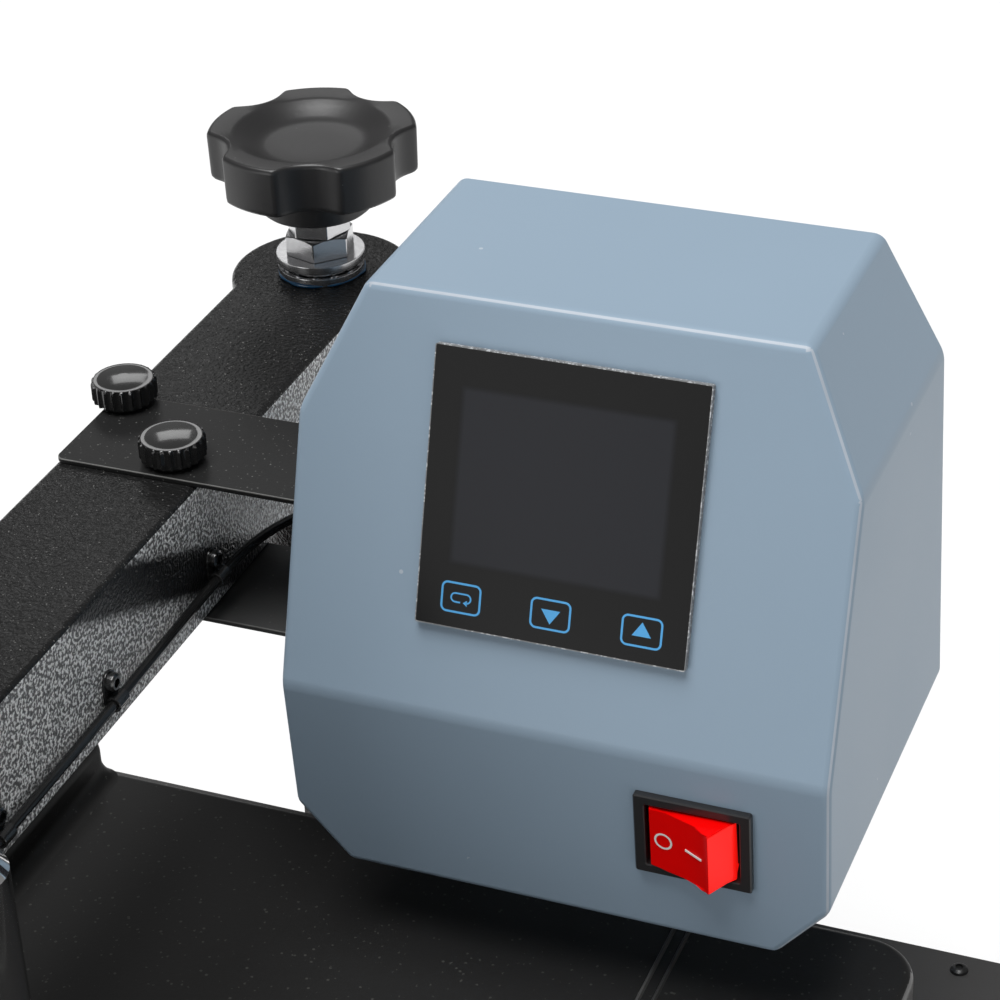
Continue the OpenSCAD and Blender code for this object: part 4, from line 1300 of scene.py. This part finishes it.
@dataclass
class StarKnob(SubAssembly):
    """The pressure knob: a dished disc with five finger scallops round its rim."""

    scallops: int = 5
    rim: float = 31 * MM
    scallop: float = 13 * MM
    bite: float = 5 * MM
    first: float = 3.7
    corner: float = 2.2 * MM
    height: float = 15.4 * MM
    steps: int = 240

    def reach(self, angle: float) -> float:
        """Return the rim's radius in a direction, with the scallops' corners rounded."""
        share = math.tau / self.scallops
        away = (angle - math.radians(self.first) + share / 2) % share - share / 2
        centre = self.rim - self.bite + self.scallop
        inside = self.scallop ** 2 - (centre * math.sin(away)) ** 2
        wall = centre * math.cos(away) - math.sqrt(inside) if inside > 0 else self.rim + self.corner
        blend = max(self.corner - abs(wall - self.rim), 0) / self.corner
        return min(wall, self.rim) - blend ** 2 * self.corner / 4

    def outline(self, shrink: float = 0) -> Outline:
        """Return the scalloped outline, moved inward by a distance.

        Args:
            shrink: How far each point moves towards the axis.

        Returns:
            The outline's points.
        """
        turn = [math.tau * step / self.steps for step in range(self.steps)]
        rim = [(self.reach(angle) - shrink, angle) for angle in turn]
        return [(radius * math.cos(angle), radius * math.sin(angle)) for radius, angle in rim]

    def circle(self, radius: float) -> Outline:
        """Return a round outline with as many points as the scalloped one."""
        turn = [math.tau * step / self.steps for step in range(self.steps)]
        return [(radius * math.cos(a), radius * math.sin(a)) for a in turn]

    def build(self) -> None:
        """Build the knob as one skin from the hub up to the dish."""
        low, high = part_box("star_knob")
        centre = Vector((0, middle("adjusting_screw").y, 0))
        top = high.z
        base = top - self.height
        sections = [
            (self.circle(6.4 * MM), low.z), (self.circle(15.9 * MM), low.z),
            (self.circle(16.8 * MM), low.z + 0.8 * MM),
            (self.circle(16.8 * MM), base - 1.0 * MM), (self.circle(17.6 * MM), base),
            (self.outline(2.4 * MM), base + 0.05 * MM), (self.outline(1.0 * MM), base + 0.3 * MM),
            (self.outline(0.4 * MM), base + 1.0 * MM), (self.outline(0.25 * MM), base + 2 * MM),
            (self.outline(0.02 * MM), top - 1.6 * MM), (self.outline(0.1 * MM), top - 0.9 * MM),
            (self.outline(0.4 * MM), top - 0.4 * MM), (self.outline(0.9 * MM), top - 0.08 * MM),
            (self.outline(1.5 * MM), top), (self.circle(23.9 * MM), top - 0.35 * MM),
            (self.circle(22.6 * MM), top - 0.85 * MM), (self.circle(20.5 * MM), top - 2.0 * MM),
            (self.circle(17.5 * MM), top - 3.6 * MM), (self.circle(15.6 * MM), top - 4.3 * MM),
            (self.circle(13.6 * MM), top - 4.6 * MM), (self.circle(8 * MM), top - 4.7 * MM),
            (self.circle(2 * MM), top - 4.75 * MM),
        ]
        bm = loft(sections)
        place = Matrix.Translation(centre)
        self.keep(piece("pressure_knob", bm, KNOB, place), "knob", "knob_plastic", "star_knob")


@dataclass
class Bearing(SubAssembly):
    """The thrust bearing's grease and the hexagon nuts on the screw."""

    grease_radius: float = 12.9 * MM

    def nut(self, across: float, low: float, high: float, turn: float) -> bmesh.types.BMesh:
        """Return a chamfered hexagon nut.

        Args:
            across: Distance across its flats.
            low: Height of its underside.
            high: Height of its top.
            turn: Its turn in degrees.

        Returns:
            The nut about the screw's axis.
        """
        corner = across / math.cos(math.radians(30)) / 2
        bm = bmesh.new()
        bmesh.ops.create_cone(
            bm, cap_ends=True, segments=6, radius1=corner, radius2=corner, depth=high - low
        )
        turned_by = Matrix.Rotation(math.radians(turn), 3, "Z")
        bmesh.ops.rotate(bm, cent=(0, 0, 0), matrix=turned_by, verts=bm.verts)
        bmesh.ops.translate(bm, vec=(0, 0, (low + high) / 2), verts=bm.verts)
        round_edges(bm, 0.35 * MM, 2, 20)
        return bm

    def chamfer(
        self, name: str, bm: bmesh.types.BMesh, across: float, high: float, place: Matrix
    ) -> bpy.types.Object:
        """Cut a nut's upper corners with a cone, as a turned chamfer does."""
        made = piece(name, bm, ZINC, place)
        outer = across / 2 / math.cos(math.radians(30)) + 3 * MM
        inner = across / 2 - 0.3 * MM
        rim = (outer - inner) * 0.5
        over = high + 0.1 * MM
        collar = turned([(inner, over), (outer, over), (outer, high - rim), (inner, over)])
        collar.transform(place)
        cut(made, [collar])
        return made

    def build(self) -> None:
        """Build both nuts and the squeezed ring of grease."""
        low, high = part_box("screw_nuts")
        centre = Matrix.Translation((0, middle("adjusting_screw").y, 0))
        seam = low.z + 6.8 * MM
        width, top = 18.6 * MM, seam - 0.1 * MM
        lower = self.chamfer("lock_nut", self.nut(width, low.z, top, 14), width, top, centre)
        self.keep(lower, "knob", "zinc_steel", "screw_nuts")
        upper = self.nut(17 * MM, seam + 0.1 * MM, high.z, 40)
        self.keep(piece("jam_nut", upper, ZINC, centre), "knob", "zinc_steel")
        steps = 96
        race_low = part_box("lower_race")[0].z
        bm = bmesh.new()
        circle = bmesh.ops.create_circle(bm, segments=10, radius=0.42 * MM)["verts"]
        bmesh.ops.rotate(bm, cent=(0, 0, 0), matrix=Matrix.Rotation(math.pi / 2, 3, "X"), verts=circle)
        bmesh.ops.translate(bm, vec=(self.grease_radius, 0, 0), verts=circle)
        bmesh.ops.spin(
            bm, geom=bm.verts[:] + bm.edges[:], cent=(0, 0, 0), axis=(0, 0, 1), angle=math.tau, steps=steps,
            use_merge=True,
        )
        bmesh.ops.remove_doubles(bm, verts=bm.verts, dist=1e-7)
        for v in bm.verts:
            angle = math.atan2(v.co.y, v.co.x)
            swell = 0.22 * math.sin(3 * angle + 0.6) + 0.14 * math.sin(7 * angle) + 0.1 * math.sin(13 * angle)
            v.co.x += math.cos(angle) * swell * MM
            v.co.y += math.sin(angle) * swell * MM
            v.co.z = max(v.co.z * (1 + 0.8 * swell), -0.4 * MM)
        bmesh.ops.recalc_face_normals(bm, faces=bm.faces)
        place = centre @ Matrix.Translation((0, 0, race_low + 0.5 * MM))
        self.keep(piece("bearing_grease", bm, GREASE, place), "arm", "zinc_steel")


@dataclass
class PlatenCover(SubAssembly):
    """The pressed cover over the heating plate, with its beads and raised terminal box."""

    bead_lines: tuple[float, ...] = (-157.5, -153.4, 153.4, 157.5)
    screw_columns: tuple[float, ...] = (-224, 0, 224)
    screw_rows: tuple[float, ...] = (-300.5, 86.5)
    gland_spot: Point = (-50 * MM, -15 * MM, 0)
    wall: float = 1.5 * MM
    cover: tuple[float, float] = (439 * MM, 341 * MM)
    corner: float = 15 * MM
    top_round: float = 3 * MM
    foot_round: float = 3 * MM
    bead_height: float = 0.7 * MM

    def skin(self, centre: Vector, low: float, high: float, flange: Vector) -> bmesh.types.BMesh:
        """Return the pressed skin's upper face, from the flange's edge to the top."""
        steps = 10
        sections = [(rounded_rectangle(flange.x, flange.y, 8 * MM, steps), low)]
        for step in range(5):
            angle = math.radians(90 * step / 4)
            grow = 2 * self.foot_round * (1 - math.sin(angle))
            rise = self.foot_round * (1 - math.cos(angle))
            outline = rounded_rectangle(
                self.cover[0] + grow, self.cover[1] + grow, self.corner + grow / 2, steps
            )
            sections.append((outline, low + rise))
        for step in range(7):
            angle = math.radians(90 * step / 6)
            shrink = 2 * self.top_round * (1 - math.cos(angle))
            rise = self.top_round * (1 - math.sin(angle))
            outline = rounded_rectangle(
                self.cover[0] - shrink, self.cover[1] - shrink, self.corner - shrink / 2, steps
            )
            sections.append((outline, high - rise))
        bm = loft(sections, closed=False)
        top = [e for e in bm.edges if e.is_boundary and all(v.co.z > high - 1e-6 for v in e.verts)]
        bmesh.ops.contextual_create(bm, geom=top)
        bmesh.ops.recalc_face_normals(bm, faces=bm.faces)
        if sum(f.normal.z * f.calc_area() for f in bm.faces) < 0:
            bmesh.ops.reverse_faces(bm, faces=bm.faces)
        bmesh.ops.translate(bm, vec=(centre.x, centre.y, 0), verts=bm.verts)
        return bm

    def hump(self, low: Vector, high: Vector) -> bmesh.types.BMesh:
        """Return the raised terminal box, which flows out of the cover at its foot."""
        width, depth, rise = high.x - low.x, high.y - low.y, 13 * MM
        foot, brow = 5 * MM, 4 * MM
        sections = []
        for step in range(6):
            angle = math.radians(90 * step / 5)
            grow = 2 * foot * (1 - math.sin(angle))
            lift = foot * (1 - math.cos(angle))
            outline = rounded_rectangle(width + grow, depth + grow * 0.02, 6 * MM, 6)
            sections.append((outline, low.z + lift + 0.02 * MM))
        for step in range(6):
            angle = math.radians(90 * step / 5)
            shrink = 2 * brow * (1 - math.cos(angle))
            outline = rounded_rectangle(width - shrink, depth - shrink, 6 * MM - shrink / 4, 6)
            sections.append((outline, low.z + rise - brow * (1 - math.sin(angle))))
        bm = loft(sections)
        centre = (low + high) / 2
        bmesh.ops.translate(bm, vec=(centre.x, centre.y, 0), verts=bm.verts)
        return bm

    def gland(self, centre: Vector, level: float) -> bmesh.types.BMesh:
        """Return the gland that the lead goes into."""
        profile = [
            (2.5, -3), (4.4, -3), (4.4, 0), (6.6, 0.05), (6.8, 0.4), (6.8, 4.6), (6.2, 5.6), (4.9, 6), (4.7, 7.2),
            (3.6, 10.6), (3.2, 11), (2.5, 10.9), (2.5, -3),
        ]
        bm = turned([(r * MM, z * MM) for r, z in profile], 48)
        bmesh.ops.translate(bm, vec=(centre.x, centre.y, level), verts=bm.verts)
        return bm

    def build(self) -> None:
        """Build the cover, its beads, the terminal box and its gland."""
        low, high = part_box("platen_cover")
        centre = (low + high) / 2
        skin = self.skin(centre, low.z + self.wall, high.z, high - low)
        cover = piece("platen_lid", skin, COVER_PAINT)
        wall = cover.modifiers.new("wall", "SOLIDIFY")
        wall.thickness = self.wall
        wall.offset = -1
        bake_modifiers(cover)
        # the flange's faces are painted lighter than the rest of the cover
        repaint(cover, FLANGE_PAINT, lambda f: f.center.z < low.z + 1.02 * self.wall)
        repaint(cover, WALL_SHEEN, lambda f: abs(f.normal.x) > 0.75 and f.center.z > low.z + 3 * self.wall)
        self.keep(cover, "platen", "satin_black_paint", "platen_cover")
        for index, x in enumerate(self.bead_lines):
            foot = rounded_rectangle(1.3 * MM, 322 * MM, 0.64 * MM, 4)
            crown = rounded_rectangle(0.5 * MM, 321 * MM, 0.24 * MM, 4)
            # painted highlight on each bead ridge, every second one dimmer
            finish = BEAD_DIM_HIGHLIGHT if index % 2 else BEAD_HIGHLIGHT
            bead = loft([(foot, high.z + 0.01 * MM), (crown, high.z + self.bead_height)])
            place = Matrix.Translation((x * MM, centre.y, 0))
            self.keep(piece(f"lid_bead_{index + 1}", bead, finish, place), "platen", "satin_black_paint")
        head = turned([
            (0, 0.7 * MM), (1.1 * MM, 0.7 * MM), (1.1 * MM, 1.3 * MM), (1.8 * MM, 1.2 * MM),
            (2.4 * MM, 0.7 * MM), (2.6 * MM, 0), (0, 0),
        ], 32)
        level = low.z + self.wall
        heads = []
        for x in self.screw_columns:
            for y in self.screw_rows:
                copy = head.copy()
                bmesh.ops.translate(copy, vec=(x * MM, y * MM, level), verts=copy.verts)
                heads.append(copy)
        head.free()
        self.keep(piece("lid_screws", joined(heads), SCREW_BLACK), "platen", "black_screws", "cover_screws")
        box_low, box_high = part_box("terminal_box")
        box_low.z = high.z
        hump = piece("terminal_hump", self.hump(box_low, box_high), COVER_PAINT)
        self.keep(hump, "platen", "satin_black_paint", "terminal_box")
        spot = Vector(self.gland_spot)
        gland = piece("terminal_gland", self.gland(spot, high.z + 13 * MM), NYLON)
        self.keep(gland, "platen", "satin_black_paint")


@dataclass
class LeadClips(SubAssembly):
    """The strap clips and small screws that hold the lead to the arm."""

    holds: tuple[tuple[float, float], ...] = ((49.7, 309.0), (-9.4, 307.6), (-67.5, 307.0))
    wall_x: float = 21.15 * MM
    lead_x: float = 23.5 * MM
    strap: float = 0.7 * MM
    width: float = 6.2 * MM
    tab_height: float = 11 * MM
    screw_lift: float = 5.4 * MM

    def tab(self) -> bmesh.types.BMesh:
        """Return the flat tab under the screw, its face towards +X, about the lead's place."""
        outline = rounded_rectangle(self.width, self.tab_height, 0.49 * self.width, 8)
        bm = loft([(outline, 0), (outline, self.strap)])
        round_edges(bm, 0.18 * MM, 2, 40)
        upright = Matrix(((0, 0, 1, 0), (1, 0, 0, 0), (0, 1, 0, 0), (0, 0, 0, 1)))
        bm.transform(Matrix.Translation((self.wall_x, 0, 0.28 * self.tab_height)) @ upright)
        return bm

    def loop(self) -> bmesh.types.BMesh:
        """Return the strap's loop round the lead."""
        inner, outer, half = 1.5 * MM, 1.5 * MM + self.strap, 0.42 * self.width
        rim = 0.15 * MM
        bm = turned([
            (inner, -half), (outer - rim, -half), (outer, -half + rim), (outer, half - rim), (outer - rim, half),
            (inner, half), (inner, -half),
        ], 40)
        bm.transform(Matrix.Translation((self.lead_x, 0, 0)) @ Matrix.Rotation(math.pi / 2, 4, "X"))
        return bm

    def screw(self) -> bmesh.types.BMesh:
        """Return a socket screw's head, facing +X."""
        bm = turned([
            (0, 0.8 * MM), (1.15 * MM, 0.8 * MM), (1.25 * MM, 2.1 * MM), (1.9 * MM, 2.1 * MM), (2.45 * MM, 1.7 * MM),
            (2.6 * MM, 1.0 * MM), (2.6 * MM, 0), (0, 0),
        ], 32)
        place = Matrix.Translation((self.wall_x + self.strap, 0, self.screw_lift))
        bm.transform(place @ Matrix.Rotation(math.pi / 2, 4, "Y"))
        return bm

    def build(self) -> None:
        """Build the three clips and their screws."""
        straps, heads = [], []
        for y, z in self.holds:
            place = Matrix.Translation((0, y * MM, z * MM))
            for made, group in ((self.tab(), straps), (self.loop(), straps), (self.screw(), heads)):
                made.transform(place)
                group.append(made)
        made = piece("lead_clip_straps", joined(straps), CLIP_NYLON)
        self.keep(made, "arm", "black_plastic", "cable_clips")
        self.keep(piece("lead_clip_screws", joined(heads), DARK_STEEL), "arm", "black_screws", "clip_screws")


@dataclass
class HeaterLead(SubAssembly):
    """The lead clipped along the arm, and its slack loop to the platen."""

    radius: float = 1.4 * MM
    along_arm: tuple[Point, ...] = (
        (23.5, -72, 307), (23.5, -67.5, 307), (23.5, -40, 307.2), (23.5, -9.4, 307.6), (23.5, 20, 308.4),
        (23.5, 49.7, 309), (24.3, 60, 309.6), (26.5, 70, 310.4), (30.5, 79, 311), (36, 87, 311.4),
        (42, 93, 311.8), (46, 95, 312), (49, 95, 312),
    )
    to_platen: tuple[Point, ...] = (
        (23.5, -72, 307), (23.8, -75.2, 303.4), (23.9, -76.8, 298.6), (22.6, -77.4, 293), (18, -76, 288),
        (9, -70, 282), (0, -63, 276), (-10, -55, 270), (-20, -46, 266), (-30, -38, 264), (-40, -29, 263),
        (-47, -21, 261), (-50, -16.5, 256.5), (-50, -15, 251), (-50, -15, 240),
    )

    def metres(self, route: Sequence[Point]) -> list[Point]:
        """Return a route's points in metres."""
        return [(x * MM, y * MM, z * MM) for x, y, z in route]

    def build(self) -> None:
        """Build both stretches of the lead."""
        held = tube_along(self.metres(self.along_arm), self.radius, "lead_along_arm", SHEATH)
        self.keep(held, "arm", "lead_sheath", "heater_lead")
        route = self.metres(self.to_platen)
        slack = tube_along(route, self.radius, "lead_slack_loop", SHEATH)
        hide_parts("heater_lead_loop")
        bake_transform(slack)
        log.info("lead_slack_loop bends between arm and platen")


@dataclass
class Springs(SubAssembly):
    """The two coil springs."""

    def coil(
        self, radius: float, wire: float, low: float, high: float, turns: int, name: str
    ) -> bpy.types.Object:
        """Return a round-wire coil spring about the third axis.

        Args:
            radius: Radius of the coil's middle line.
            wire: Wire diameter.
            low: Height of its lower end.
            high: Height of its upper end.
            turns: Number of turns.
            name: The object's name.

        Returns:
            The spring.
        """
        steps = 32
        total = turns * steps
        points = []
        for step in range(total + 1):
            angle = math.tau * step / steps
            share = min(max((step / total - 0.06) / 0.88, 0), 1)
            height = low + wire / 2 + (high - low - wire) * share
            points.append((radius * math.cos(angle), radius * math.sin(angle), height))
        return tube_along(points, wire / 2, name, ZINC)

    def build(self) -> None:
        """Build the springs in place of the plain ones."""
        for node, wire, turns, lower, upper in (
            ("return_spring", 2.4 * MM, 9, "arm", "platen"),
            ("lift_spring", 3 * MM, 4, "base", "carriage"),
        ):
            low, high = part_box(node)
            centre = (low + high) / 2
            radius = (high.x - low.x - wire) / 2
            spring = self.coil(radius, wire, low.z, high.z, turns, node + "_coil")
            spring.data.transform(Matrix.Translation((0, centre.y, 0)))
            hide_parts(node)
            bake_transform(spring)
            log.info("%s stretches between %s and %s", spring.name, lower, upper)


@dataclass
class SoftenedNodes(SubAssembly):
    """CAD pieces that keep their shape and get softened edges."""

    widths: dict[str, float] = field(default_factory=lambda: {
        "base_spine": 2.0, "front_crossbar": 2.0, "rear_crossbar": 2.0, "tube_end_caps": 0.8, "rubber_feet": 0.8,
        "foot_screws": 0.4, "pedestal": 1.2, "bed_rails": 1.2, "base_bolts": 0.4, "lower_plate": 0.9,
        "silicone_pad": 0.9, "post": 0.9, "upper_race": 0.3, "lower_race": 0.3, "arm_end_cap": 0.8,
        "ram_housing": 0.9, "handle_ears": 0.8, "pivot_shaft": 0.5, "control_box_back": 0.3, "box_screws": 0.2,
        "mains_inlet": 0.4, "cable_gland": 0.4, "heating_plate": 1.0, "hanger_plate": 0.9, "hanger_bolts": 0.4,
        "ram": 0.6, "guide_rods": 0.5, "crank": 0.8,
        "crank_pin": 0.4, "handle_lever": 0.5, "handle_grip": 1.2, "relay": 0.5, "terminal_block": 0.4,
        "display_module": 0.5, "sleeve_bushes": 0.3,
    })

    def bevelled(self, node: str, width: float) -> bmesh.types.BMesh:
        """Return a merged copy of a CAD node's mesh with its edges rounded."""
        bm = bmesh.new()
        bm.from_mesh(frame["nodes"][node].data)
        bmesh.ops.remove_doubles(bm, verts=bm.verts, dist=2e-6)
        bmesh.ops.dissolve_limit(bm, angle_limit=math.radians(0.5), verts=bm.verts, edges=bm.edges)
        round_edges(bm, width, 2, 38)
        return bm

    def build(self) -> None:
        """Build every softened node on the body that carries it."""
        slots = {part["node"]: part["material_slot"] for part in frame["record"]["subparts"]}
        bodies = {
            node: body for body, nodes in frame["record"]["behaviour"]["bodies"].items() for node in nodes
        }
        for node, width in self.widths.items():
            slot = slots[node]
            made = piece(node + "_soft", self.bevelled(node, width * MM), BY_SLOT[slot])
            self.keep(made, bodies[node], slot, node)
        for node, made in frame["nodes"].items():
            made.data.materials.clear()
            made.data.materials.append(BY_SLOT[slots[node]].material())


# ---------------------------------------------------------------- stage


@dataclass
class Studio:
    """Camera, light and floor."""

    eye: Point = (0.34966, -0.52751, 0.72982)
    yaw: float = 22.81
    pitch: float = 31.31
    roll: float = -2.49
    lens: float = 103.6
    floor_size: float = 30.0
    room_light: float = 0.22
    key_power: float = 3.4
    key_softness: float = 40
    key_from: Point = (-0.12, -0.16, 1.0)
    aim: Point = (0.05, 0.0, 0.3)
    fill_from: Point = (-0.8, -2.0, 0.4)
    fill_width: float = 1.0
    fill_power: float = 7.6
    back_from: Point = (-0.9, 1.7, 1.5)
    back_width: float = 0.5
    back_power: float = 1.5
    floor_colour: tuple[float, float, float] = (0.8, 0.8, 0.8)

    def build_camera(self) -> None:
        """Place the camera."""
        yaw, pitch, roll = (math.radians(v) for v in (self.yaw, self.pitch, self.roll))
        ahead = Vector((-math.sin(yaw) * math.cos(pitch), math.cos(yaw) * math.cos(pitch), -math.sin(pitch)))
        right = Vector((math.cos(yaw), math.sin(yaw), 0))
        down = ahead.cross(right)
        level_right = right * math.cos(roll) - down * math.sin(roll)
        level_down = right * math.sin(roll) + down * math.cos(roll)
        data = bpy.data.cameras.new("camera")
        data.lens = self.lens
        data.sensor_width = 36
        data.clip_start = 0.01
        camera = bpy.data.objects.new("camera", data)
        turn = Matrix((level_right, -level_down, -ahead)).transposed()
        camera.matrix_world = Matrix.Translation(self.eye) @ turn.to_4x4()
        bpy.context.scene.collection.objects.link(camera)
        bpy.context.scene.camera = camera

    def build_light(self, name: str, place: Point, target: Point, width: float, power: float) -> None:
        """Add a soft square light.

        Args:
            name: The light's name.
            place: Where it stands.
            target: What it points at.
            width: Its side.
            power: Its power in watts.
        """
        data = bpy.data.lights.new(name, "AREA")
        data.energy = power
        data.size = width
        lamp = bpy.data.objects.new(name, data)
        lamp.location = place
        lamp.rotation_euler = (Vector(target) - Vector(place)).to_track_quat("-Z", "Y").to_euler()
        bpy.context.scene.collection.objects.link(lamp)

    def build_world(self) -> None:
        """Give the room a dim even light behind a white backdrop."""
        world = bpy.data.worlds.new("studio_world")
        world.use_nodes = True
        nodes, links = world.node_tree.nodes, world.node_tree.links
        seen = nodes.new("ShaderNodeLightPath")
        level = nodes.new("ShaderNodeMapRange")
        level.inputs["To Min"].default_value = self.room_light
        level.inputs["To Max"].default_value = 1.0
        links.new(seen.outputs["Is Camera Ray"], level.inputs["Value"])
        links.new(level.outputs["Result"], nodes["Background"].inputs["Strength"])
        nodes["Background"].inputs["Color"].default_value = (1, 1, 1, 1)
        bpy.context.scene.world = world

    def build_sun(self) -> None:
        """Hang a very soft key light high over the object."""
        data = bpy.data.lights.new("key", "SUN")
        data.energy = self.key_power
        data.angle = math.radians(self.key_softness)
        lamp = bpy.data.objects.new("key", data)
        lamp.rotation_euler = Vector(self.key_from).to_track_quat("Z", "Y").to_euler()
        bpy.context.scene.collection.objects.link(lamp)

    def build(self) -> None:
        """Build the whole stage."""
        self.build_camera()
        bm = bmesh.new()
        bmesh.ops.create_grid(bm, x_segments=1, y_segments=1, size=self.floor_size / 2)
        finish = Finish("studio_floor", "", self.floor_colour, roughness=0.9, grain_depth=0.0, drift=0.004)
        floor = piece("studio_floor", bm, finish)
        self.build_world()
        self.build_sun()
        self.build_light("low_front_fill", self.fill_from, self.aim, self.fill_width, self.fill_power)
        self.build_light("back_softbox", self.back_from, self.aim, self.back_width, self.back_power)
        bpy.context.scene.view_settings.view_transform = "Standard"


def main() -> None:
    """Build the stage and every sub-assembly."""
    logging.basicConfig(level=logging.INFO, format="%(name)s: %(message)s")
    Studio().build()
    box = ControlBox()
    parts: list[SubAssembly] = [
        box, DisplayPanel(box=box), PowerSwitch(box=box), Arm(), ThumbScrews(), StarKnob(), Bearing(),
        PlatenCover(), LeadClips(), HeaterLead(), Springs(), SoftenedNodes(),
    ]
    for part in parts:
        part.build()
        log.info("%s: %d pieces", type(part).__name__, len(part.made))


if __name__ == "__main__":
    main()
